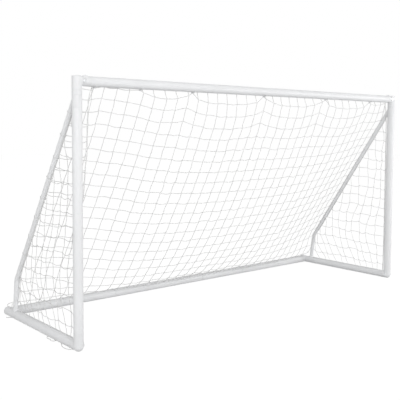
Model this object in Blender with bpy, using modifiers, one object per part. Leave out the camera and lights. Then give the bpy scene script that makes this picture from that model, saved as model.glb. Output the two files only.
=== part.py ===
"""Portable soccer goal, 12 ft by 6 ft: a frame of white plastic tube with moulded corners, back stays and a net.

Metres, +Z up. The goal's mouth faces -Y, X runs along the crossbar, and the ground is z = 0.
"""

import math

import bmesh
import bpy
from mathutils import Matrix, Vector

# Whole goal
GOAL_WIDTH = 3.66  # over the outsides of the uprights
GOAL_HEIGHT = 1.83  # ground to the top of the crossbar
GOAL_DEPTH = 1.06  # upright axis to rear bar axis
MIDDLE_SECTION = 1.20  # length of the crossbar's and the rear bar's middle tube
UPRIGHT_JOINT_Z = 0.93  # where the upright's two tubes meet

# Tubes
TUBE_OD = 0.068
TUBE_WALL = 0.0025
TUBE_SIDES = 16
STAY_OD = 0.038
STAY_WALL = 0.0022
STAY_SIDES = 12

# Fits
SLIDE_GAP = 0.0003  # all round a tube end inside its socket
BUTT_GAP = 0.0003  # between faces that meet
OVERCUT = 0.004  # how far a cutter runs past the face that it opens

# Swaged tube ends
SPIGOT_LENGTH = 0.056
SWAGE_LENGTH = 0.006
STAY_SPIGOT = 0.032
FOOT_SPIGOT = 0.024

# Corner fittings
LEG = 0.092  # from a fitting's centre to the joint line of each tube
UPRIGHT_LEG = 0.175  # the same, from the top corner down to the upright, past the stay's root
SHOULDER = 0.003  # step that stops a tube in its socket
SETBACK = 0.0002  # where two tubular legs cross, one is this much slimmer
CORNER_TOP_ROUND = 0.007
GROOVE_STATIONS = (0.061, 0.093)
GROOVE_WIDTH = 0.003
GROOVE_DEPTH = 0.001
HOLLOW_BALL = 0.024  # radius of the elbow's inside where its two passages meet
REAR_SLEEVE = 0.160  # rear corner's reach ahead of the rear bar axis
TAIL = 0.045  # rear corner's reach behind the rear bar axis
CAP_THICKNESS = 0.006
CAP_PLUG = 0.018
CAP_WALL = 0.0025
CAP_ROUND = 0.0042
FOOT_COLLAR = 0.004  # wider than the stay's foot, all round
FOOT_COLLAR_PROUD = 0.006

# Lock button on each crossbar end
BUTTON_STATION = 0.062
BUTTON_RADIUS = 0.014
BUTTON_PROUD = 0.008
BUTTON_DOME = 0.005
BUTTON_FLANGE = 0.0035
BUTTON_FLANGE_THICKNESS = 0.003
COLLAR_RADIUS = 0.020
COLLAR_PROUD = 0.003
LEAF_THICKNESS = 0.001
LEAF_WIDTH = 0.012
LEAF_REACH = 0.045
BUTTON_SIDES = 14

# Snap buttons in each stay
SNAP_SPREAD = 0.064  # from the stay's joint to each button
SNAP_RADIUS = 0.004
SNAP_PROUD = 0.004
SNAP_DOME = 0.0015
SNAP_FLANGE = 0.002
SNAP_FLANGE_THICKNESS = 0.0015
SNAP_LEAF_THICKNESS = 0.0008
SNAP_LEAF_WIDTH = 0.006
SNAP_LEAF_REACH = 0.030
SNAP_SIDES = 8
COUPLER_LENGTH = 0.180
COUPLER_WALL = 0.002

# Cap screws
SCREW_STATION = 0.042  # from the upright axis, on the crossbar's front
ELBOW_SCREW_RISE = 0.008  # above the ground bars' axis, on the elbow's inner side
SCREW_RADIUS = 0.003
SCREW_LENGTH = 0.012
SCREW_HEAD = 0.0045
SCREW_CUP = 0.0155
SCREW_CUP_HEIGHT = 0.0036
PAD_RADIUS = 0.017
PAD_PROUD = 0.0015
SCREW_SIDES = 10
HOLLOW_SIDES = 10
HOLLOW_STEPS = 6

# Back stays
STAY_DROP = 0.073  # stay axis crosses the upright axis this far under the crossbar axis
STAY_LEG = 0.122  # from that crossing to the joint line at the stay's top
STAY_JOINT = 1.030  # from that crossing to the joint of the stay's two tubes
FOOT_AHEAD = 0.090  # foot of the stay, ahead of the rear bar axis
FOOT_TILT = math.radians(7.0)
BEND_HEIGHT = 0.3145  # ground to the crossing of the stay's two straight runs
BEND_RADIUS = 0.060
BEND_STEPS = 5
FOOT_JOINT = 0.045  # from that crossing down to the foot tube's joint line
FOOT_SINK = 0.016  # how far the foot tube goes through the side bar's top

# Net clips, at shares of the way from the goal's middle to an upright's axis
CROSSBAR_CLIPS = (-0.9243, -0.7127, -0.4454, -0.0167, 0.4287, 0.8018)
REAR_CLIPS = (-0.7350, -0.4510, 0.1225, 0.4287, 0.7350)
CLIP_THICKNESS = 0.0028
CLIP_STEPS = 12
CLIP_WIDTH = 0.018
CLIP_FROM = math.radians(-65.0)  # measured from the back, going down
CLIP_TO = math.radians(135.0)
CLIP_HOOK_AT = math.radians(80.0)
REAR_CLIP_TURN = math.radians(-125.0)
HOOK_BORE = 0.0028
HOOK_THICKNESS = 0.0022
HOOK_MOUTH = math.radians(70.0)

# Net
TWINE = 0.003
NET_COLUMNS = 18
NET_ROWS = 12
NET_BELLY = 0.19  # how far the back net hangs inwards from the line between its top and bottom clips
NET_DEEPEST = 0.72  # share of the way down at which it does
NET_EDGE_PULL = 6  # how steeply the back net rises towards the stays
NET_EDGE_BEHIND = 0.012  # its side edges run this far behind the stays' axes
SIDE_NET_CELLS = 7
SIDE_NET_ROWS = 2
SEAT_GAP = 0.0006  # between twine and what it lies on

# Worked out from the values above
TUBE_R = TUBE_OD / 2
TUBE_BORE = TUBE_R - TUBE_WALL
SPIGOT_R = TUBE_BORE - SLIDE_GAP
SPIGOT_BORE = SPIGOT_R - TUBE_WALL
CORE_R = TUBE_BORE - SHOULDER
CROSS_CORE_R = CORE_R - SETBACK
CROSS_LEG_R = TUBE_R - SETBACK
STAY_R = STAY_OD / 2
STAY_BORE = STAY_R - STAY_WALL
HALF_SPAN = GOAL_WIDTH / 2 - TUBE_R
CROSSBAR_Z = GOAL_HEIGHT - TUBE_R
GROUND_Z = TUBE_R
STAY_TOP_Z = CROSSBAR_Z - STAY_DROP
FOOT_Y = GOAL_DEPTH - FOOT_AHEAD
BEND_Y = FOOT_Y - (BEND_HEIGHT - GROUND_Z) * math.tan(FOOT_TILT)
STAY_ANGLE = math.atan2(BEND_Y, STAY_TOP_Z - BEND_HEIGHT)
STAY_DOWN = Vector((0, math.sin(STAY_ANGLE), -math.cos(STAY_ANGLE)))
STAY_FRONT = Vector((0, -math.cos(STAY_ANGLE), -math.sin(STAY_ANGLE)))
FOOT_DOWN = Vector((0, math.sin(FOOT_TILT), -math.cos(FOOT_TILT)))
STAY_LENGTH = math.hypot(BEND_Y, STAY_TOP_Z - BEND_HEIGHT)
COUPLER_R = STAY_BORE - SLIDE_GAP
COUPLER_BORE = COUPLER_R - COUPLER_WALL
PAD_FACE = TUBE_R + PAD_PROUD
CLIP_BORE = TUBE_R / math.cos(math.pi / TUBE_SIDES) + SLIDE_GAP
CLIP_R = CLIP_BORE + CLIP_THICKNESS
HOOK_REACH = CLIP_R + HOOK_BORE
FRONT_Y = -(PAD_FACE + BUTT_GAP + SCREW_CUP_HEIGHT)
BACK_Y = GOAL_DEPTH + TAIL + BUTT_GAP + CAP_THICKNESS
SIDES = (("left", -1), ("right", 1))


def clear_scene():
    for obj in list(bpy.data.objects):
        bpy.data.objects.remove(obj)


def new_collection(name):
    collection = bpy.data.collections.new(name)
    bpy.context.scene.collection.children.link(collection)
    return collection


def plastic_or_metal(name, colour, roughness, metallic=0.0):
    material = bpy.data.materials.new(name)
    material.use_nodes = True
    shader = material.node_tree.nodes["Principled BSDF"]
    shader.inputs["Base Color"].default_value = (*colour, 1.0)
    shader.inputs["Roughness"].default_value = roughness
    shader.inputs["Metallic"].default_value = metallic
    material.diffuse_color = (*colour, 1.0)
    return material


clear_scene()
PARTS = new_collection("portable_soccer_goal")
CUTTERS = new_collection("cutters")
TUBE_WHITE = plastic_or_metal("tube_plastic", (0.86, 0.87, 0.88), 0.30)
FITTING_WHITE = plastic_or_metal("fitting_plastic", (0.84, 0.85, 0.86), 0.38)
NET_WHITE = plastic_or_metal("net_twine", (0.88, 0.88, 0.86), 0.75)
STEEL = plastic_or_metal("zinc_steel", (0.52, 0.53, 0.55), 0.35, 1.0)

# The model is drawn with the upright axes at y = 0, and this empty centres it over its base.
ORIGIN = bpy.data.objects.new("goal_origin", None)
ORIGIN.location = (0, -(FRONT_Y + BACK_Y) / 2, 0)
PARTS.objects.link(ORIGIN)


def place(name, data, material, at=(0, 0, 0), along=None):
    """Adds an object to the goal, or to the cutters where it has no material. Its +Z is turned to along."""
    obj = bpy.data.objects.new(name, data)
    obj.parent = ORIGIN
    obj.location = at
    if along is not None:
        obj.rotation_mode = "QUATERNION"
        obj.rotation_quaternion = Vector(along).to_track_quat("Z", "Y")
    if material is None:
        obj.hide_render = True
        obj.display_type = "WIRE"
        CUTTERS.objects.link(obj)
    else:
        data.materials.append(material)
        PARTS.objects.link(obj)
    return obj


def turned(name, profile, material, at, along, sides=TUBE_SIDES, ring=False):
    """Turns a profile of (radius, height) points, given down its outer side, round the object's +Z.

    Radii are to the flats of the many-sided shape, so that two shapes with equal sides nest evenly and a
    flat rests on the ground.
    """
    phase = math.pi / sides
    stretch = 1 / math.cos(phase)
    points = []
    for radius, height in profile:
        reach = radius * stretch
        points.append((reach * math.cos(phase), reach * math.sin(phase), height))
    edges = [(i, i + 1) for i in range(len(points) - 1)]
    if ring:
        edges.append((len(points) - 1, 0))
    mesh = bpy.data.meshes.new(name)
    mesh.from_pydata(points, edges, [])
    obj = place(name, mesh, material, at, along)
    screw = obj.modifiers.new("Turn", "SCREW")
    screw.steps = sides
    screw.render_steps = sides
    screw.use_merge_vertices = True
    screw.merge_threshold = 0.00001
    screw.use_smooth_shade = True
    return obj


def rod(name, radius, start, end, at, along, material=None, sides=TUBE_SIDES):
    """A plain solid cylinder from height start to height end on the axis along."""
    profile = [(0, end), (radius, end), (radius, start), (0, start)]
    return turned(name, profile, material, at, along, sides)


def combine(target, tools, operation):
    """Joins or cuts with several tools at once, which leaves cleaner edges than one after another."""
    group = bpy.data.collections.new(f"{target.name}_{operation.lower()}")
    CUTTERS.children.link(group)
    for tool in tools:
        group.objects.link(tool)
    modifier = target.modifiers.new(operation.title(), "BOOLEAN")
    modifier.operation = operation
    modifier.operand_type = "COLLECTION"
    modifier.collection = group
    modifier.solver = "EXACT"


def weld(obj):
    """Joins the doubled points that the Booleans leave along their cuts."""
    modifier = obj.modifiers.new("Weld", "WELD")
    modifier.merge_threshold = 0.00002


def tube(name, at, along, length, spigot_start=0.0, spigot_end=0.0, radius=TUBE_R, wall=TUBE_WALL,
         sides=TUBE_SIDES, material=TUBE_WHITE):
    """A tube whose full-size part runs from at for length along its axis, less a gap at each end.

    Where a spigot length is given, that end is swaged down and slides into the next piece's bore.
    """
    bore = radius - wall
    slim = bore - SLIDE_GAP
    slim_bore = slim - wall
    low = BUTT_GAP
    high = length - BUTT_GAP
    outside = []
    inside = []
    if spigot_end:
        outside += [(slim, high + spigot_end), (slim, high)]
        inside += [(bore, high - wall - SWAGE_LENGTH), (slim_bore, high - wall)]
        inside += [(slim_bore, high + spigot_end)]
    else:
        inside += [(bore, high)]
    outside += [(radius, high), (radius, low)]
    start_inside = [(bore, low)]
    if spigot_start:
        outside += [(slim, low), (slim, low - spigot_start)]
        start_inside = [(slim_bore, low - spigot_start), (slim_bore, low + wall)]
        start_inside += [(bore, low + wall + SWAGE_LENGTH)]
    return turned(name, outside + start_inside + inside, material, at, along, sides, ring=True)


def corner_point(side, height):
    return Vector((side * HALF_SPAN, 0, height))


def on_stay(side, distance):
    """A point on a stay's upper straight run, measured down from the upright axis."""
    return corner_point(side, STAY_TOP_Z) + STAY_DOWN * distance


def leaf_spring(name, at, along, across, top, floor, reach, width, thickness, contact):
    """A bent strip: one arm lies under a button's flange, the other presses on the far wall.

    along is the tube's direction and across the button's. Heights are measured along across, from the axis.
    """
    half = thickness / 2
    upper = top - half
    lower = -floor + half
    turn = (upper - lower) / 8
    middle = (upper + lower) / 2
    route = [
        (-contact, upper),
        (contact, upper),
        (reach - turn, middle + turn),
        (reach, middle),
        (reach - turn, middle - turn),
        (0.0, lower),
        (-contact, lower),
    ]
    curve = bpy.data.curves.new(name, "CURVE")
    curve.dimensions = "3D"
    curve.extrude = width / 2
    spline = curve.splines.new("POLY")
    spline.points.add(len(route) - 1)
    for point, (run, height) in zip(spline.points, route):
        point.co = (run, height, 0, 1)
    obj = place(name, curve, STEEL, at)
    run_axis = Vector(along)
    rise_axis = Vector(across)
    matrix = obj.matrix_basis.to_3x3()
    matrix.col[0] = run_axis
    matrix.col[1] = rise_axis
    matrix.col[2] = run_axis.cross(rise_axis)
    obj.rotation_mode = "QUATERNION"
    obj.rotation_quaternion = matrix.to_quaternion()
    solidify = obj.modifiers.new("Thickness", "SOLIDIFY")
    solidify.thickness = thickness
    solidify.offset = 0
    return obj


def push_button(name, at, along, radius, crown, dome, flange, flange_thickness, bore, material, sides):
    """A round button that stands out of a tube. Its flange sits inside the bore, under the wall."""
    flange_radius = radius + flange
    # The flange is flat and the bore is round, so its top sits where its rim clears the wall.
    flange_top = math.sqrt((bore - SLIDE_GAP) ** 2 - flange_radius**2)
    flange_bottom = flange_top - flange_thickness
    profile = [
        (0, crown),
        (radius * 0.62, crown - dome * 0.2),
        (radius * 0.90, crown - dome * 0.55),
        (radius, crown - dome),
        (radius, flange_top),
        (flange_radius, flange_top),
        (flange_radius, flange_bottom),
        (0, flange_bottom),
    ]
    turned(name, profile, material, at, along, sides)
    return flange_bottom


def cap_screw(name, at, along):
    """A screw with a cup washer, seated on a pad. Heights are from the pad's face."""
    seat = BUTT_GAP
    rim = seat + SCREW_CUP_HEIGHT
    profile = [
        (0, rim),
        (SCREW_HEAD, rim),
        (SCREW_HEAD * 1.15, seat + SCREW_CUP_HEIGHT * 0.45),
        (SCREW_CUP * 0.58, seat + SCREW_CUP_HEIGHT * 0.45),
        (SCREW_CUP * 0.75, seat + SCREW_CUP_HEIGHT * 0.9),
        (SCREW_CUP, seat),
        (SCREW_RADIUS, seat),
        (SCREW_RADIUS, -SCREW_LENGTH),
        (0, -SCREW_LENGTH),
    ]
    turned(name, profile, STEEL, at, along, sides=SCREW_SIDES)


def socket(name, at, along, mouth, core, core_end):
    """A cutter for a tube's socket, whose mouth lies at a height on the axis along, and the passage behind it."""
    shoulder = mouth - SPIGOT_LENGTH
    profile = [
        (0, mouth + OVERCUT),
        (TUBE_BORE, mouth + OVERCUT),
        (TUBE_BORE, shoulder),
        (core, shoulder),
        (core, core_end),
        (0, core_end),
    ]
    return turned(name, profile, None, at, along)


def top_corner(label, side):
    """Moulded corner: upright below, crossbar inwards, back stay behind."""
    centre = corner_point(side, CROSSBAR_Z)
    inward = Vector((-side, 0, 0))
    down = Vector((0, 0, -1))
    step = CORNER_TOP_ROUND * (1 - math.sqrt(0.5))
    column = [
        (0, TUBE_R),
        (TUBE_R - CORNER_TOP_ROUND, TUBE_R),
        (TUBE_R - step, TUBE_R - step),
        (TUBE_R, TUBE_R - CORNER_TOP_ROUND),
    ]
    for station in GROOVE_STATIONS:
        column.append((TUBE_R, -station + GROOVE_WIDTH / 2))
        column.append((TUBE_R - GROOVE_DEPTH, -station))
        column.append((TUBE_R, -station - GROOVE_WIDTH / 2))
    column += [(TUBE_R, -UPRIGHT_LEG), (0, -UPRIGHT_LEG)]
    fitting = turned(f"top_corner_{label}", column, FITTING_WHITE, centre, (0, 0, 1))
    stay_centre = corner_point(side, STAY_TOP_Z)
    button_at = centre + inward * BUTTON_STATION
    screw_at = centre + inward * SCREW_STATION
    inside = CORE_R * 0.8
    leg = rod(f"crossbar_leg_{label}", CROSS_LEG_R, 0, LEG, centre, inward)
    stay_leg = rod(f"stay_leg_{label}", STAY_R, CORE_R, STAY_LEG, stay_centre, STAY_DOWN, sides=STAY_SIDES)
    collar = rod(f"button_collar_{label}", COLLAR_RADIUS, inside, TUBE_R + COLLAR_PROUD, button_at, (0, 0, 1),
                 sides=BUTTON_SIDES)
    pad = rod(f"screw_pad_{label}", PAD_RADIUS, inside, PAD_FACE, screw_at, (0, -1, 0), sides=BUTTON_SIDES)
    combine(fitting, (leg, stay_leg, collar, pad), "UNION")
    stay_stop = STAY_LEG - STAY_SPIGOT
    upright_bore = socket(f"upright_bore_{label}", centre, down, UPRIGHT_LEG, CORE_R, -CORE_R)
    crossbar_bore = socket(f"crossbar_bore_{label}", centre, inward, LEG, CROSS_CORE_R, 0)
    stay_bore = rod(f"stay_bore_{label}", STAY_BORE, stay_stop, STAY_LEG + OVERCUT, stay_centre, STAY_DOWN,
                    sides=STAY_SIDES)
    # The button's and the screw's holes go through the fitting and through the crossbar's swaged end.
    button_hole = rod(f"button_hole_{label}", BUTTON_RADIUS + SLIDE_GAP, inside,
                      TUBE_R + COLLAR_PROUD + OVERCUT, button_at, (0, 0, 1), sides=BUTTON_SIDES)
    screw_hole = rod(f"screw_hole_{label}", SCREW_RADIUS + SLIDE_GAP, inside, PAD_FACE + OVERCUT, screw_at,
                     (0, -1, 0), sides=SCREW_SIDES)
    combine(fitting, (upright_bore, crossbar_bore, stay_bore, button_hole, screw_hole), "DIFFERENCE")
    weld(fitting)
    combine(bpy.data.objects[f"crossbar_{label}"], (button_hole, screw_hole), "DIFFERENCE")
    flange_bottom = push_button(f"lock_button_{label}", button_at, (0, 0, 1), BUTTON_RADIUS,
                                TUBE_R + BUTTON_PROUD, BUTTON_DOME, BUTTON_FLANGE, BUTTON_FLANGE_THICKNESS,
                                SPIGOT_BORE, FITTING_WHITE, BUTTON_SIDES)
    floor = math.sqrt(SPIGOT_BORE**2 - (LEAF_WIDTH / 2) ** 2) - SLIDE_GAP
    leaf_spring(f"lock_spring_{label}", button_at, inward, (0, 0, 1), flange_bottom - SLIDE_GAP, floor,
                LEAF_REACH, LEAF_WIDTH, LEAF_THICKNESS, BUTTON_RADIUS * 0.6)
    cap_screw(f"crossbar_screw_{label}", screw_at + Vector((0, -PAD_FACE, 0)), (0, -1, 0))


def foot_elbow(label, side):
    """Front ground corner: the upright above, the side bar behind, and a ball where they meet."""
    centre = corner_point(side, GROUND_Z)
    inward = Vector((-side, 0, 0))
    up = Vector((0, 0, 1))
    back = Vector((0, 1, 0))
    screw_at = centre + up * ELBOW_SCREW_RISE
    fitting = rod(f"foot_elbow_{label}", TUBE_R, 0, LEG, centre, back, FITTING_WHITE)
    # The ball's outline has the tubes' own corners, so that it runs into them evenly.
    phase = math.pi / TUBE_SIDES
    flat = TUBE_R - 2 * SETBACK
    reach = flat / math.cos(phase)
    outline = [(0, flat)]
    for i in range(TUBE_SIDES // 2):
        angle = phase + 2 * phase * i
        outline.append((reach * math.sin(angle), reach * math.cos(angle)))
    outline.append((0, -flat))
    inside = CORE_R * 0.8
    ball = turned(f"elbow_ball_{label}", outline, None, centre, inward)
    leg = rod(f"upright_leg_{label}", CROSS_LEG_R, 0, LEG, centre, up)
    pad = rod(f"elbow_pad_{label}", PAD_RADIUS, inside, PAD_FACE, screw_at, inward, sides=BUTTON_SIDES)
    combine(fitting, (leg, ball, pad), "UNION")
    hollow = []
    for i in range(HOLLOW_STEPS + 1):
        angle = math.pi * i / HOLLOW_STEPS
        hollow.append((HOLLOW_BALL * math.sin(angle), HOLLOW_BALL * math.cos(angle)))
    hollow[0] = (0, HOLLOW_BALL)
    hollow[-1] = (0, -HOLLOW_BALL)
    cut = (
        socket(f"side_bore_{label}", centre, back, LEG, CORE_R, 0),
        socket(f"upright_socket_{label}", centre, up, LEG, CROSS_CORE_R, 0),
        turned(f"elbow_hollow_{label}", hollow, None, centre, inward, sides=HOLLOW_SIDES),
        rod(f"elbow_hole_{label}", SCREW_RADIUS + SLIDE_GAP, HOLLOW_BALL * 0.5, PAD_FACE + OVERCUT, screw_at,
            inward, sides=SCREW_SIDES),
    )
    combine(fitting, cut, "DIFFERENCE")
    weld(fitting)
    cap_screw(f"foot_screw_{label}", screw_at + inward * PAD_FACE, inward)


def rear_corner(label, side):
    """Rear ground corner: side bar from the front, rear bar inwards, stay foot on top, end cap behind."""
    centre = Vector((side * HALF_SPAN, GOAL_DEPTH, GROUND_Z))
    inward = Vector((-side, 0, 0))
    back = Vector((0, 1, 0))
    foot = Vector((side * HALF_SPAN, FOOT_Y, GROUND_Z))
    inside = CORE_R * 0.8
    fitting = rod(f"rear_corner_{label}", TUBE_R, -REAR_SLEEVE, TAIL, centre, back, FITTING_WHITE)
    leg = rod(f"rear_leg_{label}", CROSS_LEG_R, 0, LEG, centre, inward)
    collar = rod(f"foot_collar_{label}", STAY_R + FOOT_COLLAR, inside, TUBE_R + FOOT_COLLAR_PROUD, foot,
                 -FOOT_DOWN, sides=STAY_SIDES)
    combine(fitting, (leg, collar), "UNION")
    cut = (
        rod(f"sleeve_bore_{label}", TUBE_BORE, -REAR_SLEEVE - OVERCUT, TAIL + OVERCUT, centre, back),
        socket(f"rear_bore_{label}", centre, inward, LEG, CROSS_CORE_R, 0),
        rod(f"foot_hole_{label}", STAY_R + SLIDE_GAP, inside, TUBE_R + FOOT_COLLAR_PROUD + OVERCUT, foot,
            -FOOT_DOWN, sides=STAY_SIDES),
    )
    combine(fitting, cut, "DIFFERENCE")
    weld(fitting)
    face = centre + back * (TAIL + BUTT_GAP)
    step = CAP_ROUND * (1 - math.sqrt(0.5))
    plug_bore = SPIGOT_R - CAP_WALL
    cap = [
        (0, CAP_THICKNESS),
        (TUBE_R - CAP_ROUND, CAP_THICKNESS),
        (TUBE_R - step, CAP_THICKNESS - step),
        (TUBE_R, CAP_THICKNESS - CAP_ROUND),
        (TUBE_R, 0),
        (SPIGOT_R, 0),
        (SPIGOT_R, -CAP_PLUG),
        (plug_bore, -CAP_PLUG),
        (plug_bore, CAP_THICKNESS - CAP_WALL),
        (0, CAP_THICKNESS - CAP_WALL),
    ]
    turned(f"end_cap_{label}", cap, FITTING_WHITE, face, back)


def crossbar_and_rear_bar():
    reach = HALF_SPAN - LEG
    outer = reach - MIDDLE_SECTION / 2
    for bar, y, z in (("crossbar", 0, CROSSBAR_Z), ("rear_bar", GOAL_DEPTH, GROUND_Z)):
        tube(f"{bar}_middle", (-MIDDLE_SECTION / 2, y, z), (1, 0, 0), MIDDLE_SECTION, SPIGOT_LENGTH,
             SPIGOT_LENGTH)
        for label, side in SIDES:
            tube(f"{bar}_{label}", (side * reach, y, z), (-side, 0, 0), outer, SPIGOT_LENGTH)


def uprights_and_side_bars():
    for label, side in SIDES:
        foot = corner_point(side, GROUND_Z + LEG)
        joint = corner_point(side, UPRIGHT_JOINT_Z)
        tube(f"upright_lower_{label}", foot, (0, 0, 1), joint.z - foot.z, SPIGOT_LENGTH, SPIGOT_LENGTH)
        tube(f"upright_upper_{label}", joint, (0, 0, 1), CROSSBAR_Z - UPRIGHT_LEG - joint.z, 0, SPIGOT_LENGTH)
        start = Vector((side * HALF_SPAN, LEG, GROUND_Z))
        tube(f"side_bar_{label}", start, (0, 1, 0), GOAL_DEPTH - REAR_SLEEVE - LEG, SPIGOT_LENGTH,
             REAR_SLEEVE - FOOT_AHEAD - STAY_R - OVERCUT)


def move_on(bm, edges, step):
    """Extrudes a ring of edges by a step and returns the new ring."""
    made = bmesh.ops.extrude_edge_only(bm, edges=edges)["geom"]
    verts = [item for item in made if isinstance(item, bmesh.types.BMVert)]
    bmesh.ops.translate(bm, verts=verts, vec=step)
    return [item for item in made if isinstance(item, bmesh.types.BMEdge)]


def bent_stay(name, side):
    """The lower stay: straight from its joint, round the bend, and straight on to the foot's joint line."""
    start = on_stay(side, STAY_JOINT + BUTT_GAP)
    bend = Vector((side * HALF_SPAN, BEND_Y, BEND_HEIGHT))
    turn = STAY_ANGLE - FOOT_TILT
    tangent_length = BEND_RADIUS * math.tan(turn / 2)
    pivot = bend - STAY_DOWN * tangent_length + STAY_FRONT * BEND_RADIUS
    straight = STAY_LENGTH - STAY_JOINT - BUTT_GAP - tangent_length
    last = FOOT_JOINT - BUTT_GAP - tangent_length
    bm = bmesh.new()
    # The ring is half a step round, so that its flats face as a turned shape's do.
    frame = Matrix.Translation(start) @ Vector(STAY_DOWN).to_track_quat("Z", "Y").to_matrix().to_4x4()
    half_step = Matrix.Rotation(math.pi / STAY_SIDES, 4, "Z")
    bmesh.ops.create_circle(bm, segments=STAY_SIDES, radius=STAY_R / math.cos(math.pi / STAY_SIDES),
                            matrix=frame @ half_step)
    ring = move_on(bm, bm.edges[:], STAY_DOWN * straight)
    spun = bmesh.ops.spin(bm, geom=ring, cent=pivot, axis=(1, 0, 0), angle=-turn, steps=BEND_STEPS)
    ring = [item for item in spun["geom_last"] if isinstance(item, bmesh.types.BMEdge)]
    move_on(bm, ring, FOOT_DOWN * last)
    bmesh.ops.recalc_face_normals(bm, faces=bm.faces[:])
    mesh = bpy.data.meshes.new(name)
    bm.to_mesh(mesh)
    bm.free()
    mesh.shade_smooth()
    mesh.set_sharp_from_angle(angle=math.radians(40))
    obj = place(name, mesh, TUBE_WHITE)
    solidify = obj.modifiers.new("Wall", "SOLIDIFY")
    solidify.thickness = STAY_WALL
    solidify.offset = -1
    solidify.use_even_offset = True
    return obj


def back_stay(label, side):
    top = on_stay(side, STAY_LEG)
    upper = tube(f"stay_upper_{label}", top, STAY_DOWN, STAY_JOINT - STAY_LEG, STAY_SPIGOT, 0, STAY_R,
                 STAY_WALL, STAY_SIDES)
    lower = bent_stay(f"stay_lower_{label}", side)
    bend = Vector((side * HALF_SPAN, BEND_Y, BEND_HEIGHT))
    foot_top = bend + FOOT_DOWN * FOOT_JOINT
    foot_length = (foot_top.z - (2 * TUBE_R - FOOT_SINK)) / math.cos(FOOT_TILT)
    tube(f"stay_foot_{label}", foot_top, FOOT_DOWN, foot_length, FOOT_SPIGOT, 0, STAY_R, STAY_WALL,
         STAY_SIDES)
    inward = Vector((-side, 0, 0))
    joint = on_stay(side, STAY_JOINT)
    half = COUPLER_LENGTH / 2
    sleeve = [(COUPLER_R, half), (COUPLER_R, -half), (COUPLER_BORE, -half), (COUPLER_BORE, half)]
    coupler = turned(f"stay_coupler_{label}", sleeve, STEEL, joint, STAY_DOWN, STAY_SIDES, ring=True)
    holes = []
    for position, distance, stay in (("upper", -SNAP_SPREAD, upper), ("lower", SNAP_SPREAD, lower)):
        at = joint + STAY_DOWN * distance
        hole = rod(f"snap_hole_{position}_{label}", SNAP_RADIUS + SLIDE_GAP, COUPLER_BORE * 0.6,
                   STAY_R + OVERCUT, at, inward, sides=SNAP_SIDES)
        combine(stay, [hole], "DIFFERENCE")
        holes.append(hole)
        flange_bottom = push_button(f"snap_button_{position}_{label}", at, inward, SNAP_RADIUS,
                                    STAY_R + SNAP_PROUD, SNAP_DOME, SNAP_FLANGE, SNAP_FLANGE_THICKNESS,
                                    COUPLER_BORE, STEEL, SNAP_SIDES)
        floor = math.sqrt(COUPLER_BORE**2 - (SNAP_LEAF_WIDTH / 2) ** 2) - SLIDE_GAP
        towards_joint = STAY_DOWN * (-1 if distance > 0 else 1)
        leaf_spring(f"snap_spring_{position}_{label}", at, towards_joint, inward,
                    flange_bottom - SLIDE_GAP, floor, SNAP_LEAF_REACH, SNAP_LEAF_WIDTH, SNAP_LEAF_THICKNESS,
                    SNAP_RADIUS)
    combine(coupler, holes, "DIFFERENCE")


def arc(radius, start, end, steps, centre=(0.0, 0.0)):
    points = []
    for i in range(steps + 1):
        angle = start + (end - start) * i / steps
        points.append((centre[0] + radius * math.cos(angle), centre[1] + radius * math.sin(angle)))
    return points


def clip_outline():
    """A band that snaps round the tube, with a hook for the border cord. Angles run from the back, downwards."""
    # The bore's straight steps clear the tube's corners.
    inner = CLIP_BORE / math.cos((CLIP_TO - CLIP_FROM) / CLIP_STEPS / 2)
    outer = CLIP_R
    hook_outer = HOOK_BORE + HOOK_THICKNESS
    centre_radius = HOOK_REACH
    centre = (centre_radius * math.cos(CLIP_HOOK_AT), centre_radius * math.sin(CLIP_HOOK_AT))
    # Where the hook's outside leaves the band, seen from the tube's axis and from the hook's own centre.
    spread = math.acos((outer**2 + centre_radius**2 - hook_outer**2) / (2 * outer * centre_radius))
    root = (outer * math.cos(CLIP_HOOK_AT + spread), outer * math.sin(CLIP_HOOK_AT + spread))
    root_angle = math.atan2(root[1] - centre[1], root[0] - centre[0])
    if root_angle < CLIP_HOOK_AT:
        root_angle += 2 * math.pi
    tip_angle = CLIP_HOOK_AT - math.pi + HOOK_MOUTH
    points = arc(inner, CLIP_FROM, CLIP_TO, CLIP_STEPS)
    points += arc(outer, CLIP_TO, CLIP_HOOK_AT + spread, 3)[:-1]
    points += arc(hook_outer, root_angle, tip_angle, 6, centre)
    points += arc(HOOK_BORE, tip_angle, CLIP_HOOK_AT + math.pi * 0.92, 5, centre)
    points += arc(outer, CLIP_HOOK_AT - spread * 0.3, CLIP_FROM, 7)
    return points


def net_clips():
    outline = clip_outline()
    for bar, stations, y, z, turn in (
        ("crossbar", CROSSBAR_CLIPS, 0, CROSSBAR_Z, 0.0),
        ("rear", REAR_CLIPS, GOAL_DEPTH, GROUND_Z, REAR_CLIP_TURN),
    ):
        for number, share in enumerate(stations, 1):
            name = f"{bar}_net_clip_{number}"
            curve = bpy.data.curves.new(name, "CURVE")
            curve.dimensions = "2D"
            curve.fill_mode = "BOTH"
            curve.extrude = CLIP_WIDTH / 2
            spline = curve.splines.new("POLY")
            spline.points.add(len(outline) - 1)
            spline.use_cyclic_u = True
            for point, (across, up) in zip(spline.points, outline):
                point.co = (across, up, 0, 1)
            obj = place(name, curve, FITTING_WHITE, (share * HALF_SPAN, y, z))
            turn_clip(obj, turn)


def turn_clip(obj, turn):
    """Sets the outline's X to the back and its Y down, then turns both about the bar's axis."""
    back = Vector((0, math.cos(turn), -math.sin(turn)))
    down = Vector((0, -math.sin(turn), -math.cos(turn)))
    matrix = obj.matrix_basis.to_3x3()
    matrix.col[0] = back
    matrix.col[1] = down
    matrix.col[2] = back.cross(down)
    obj.rotation_mode = "QUATERNION"
    obj.rotation_quaternion = matrix.to_quaternion()


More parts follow.
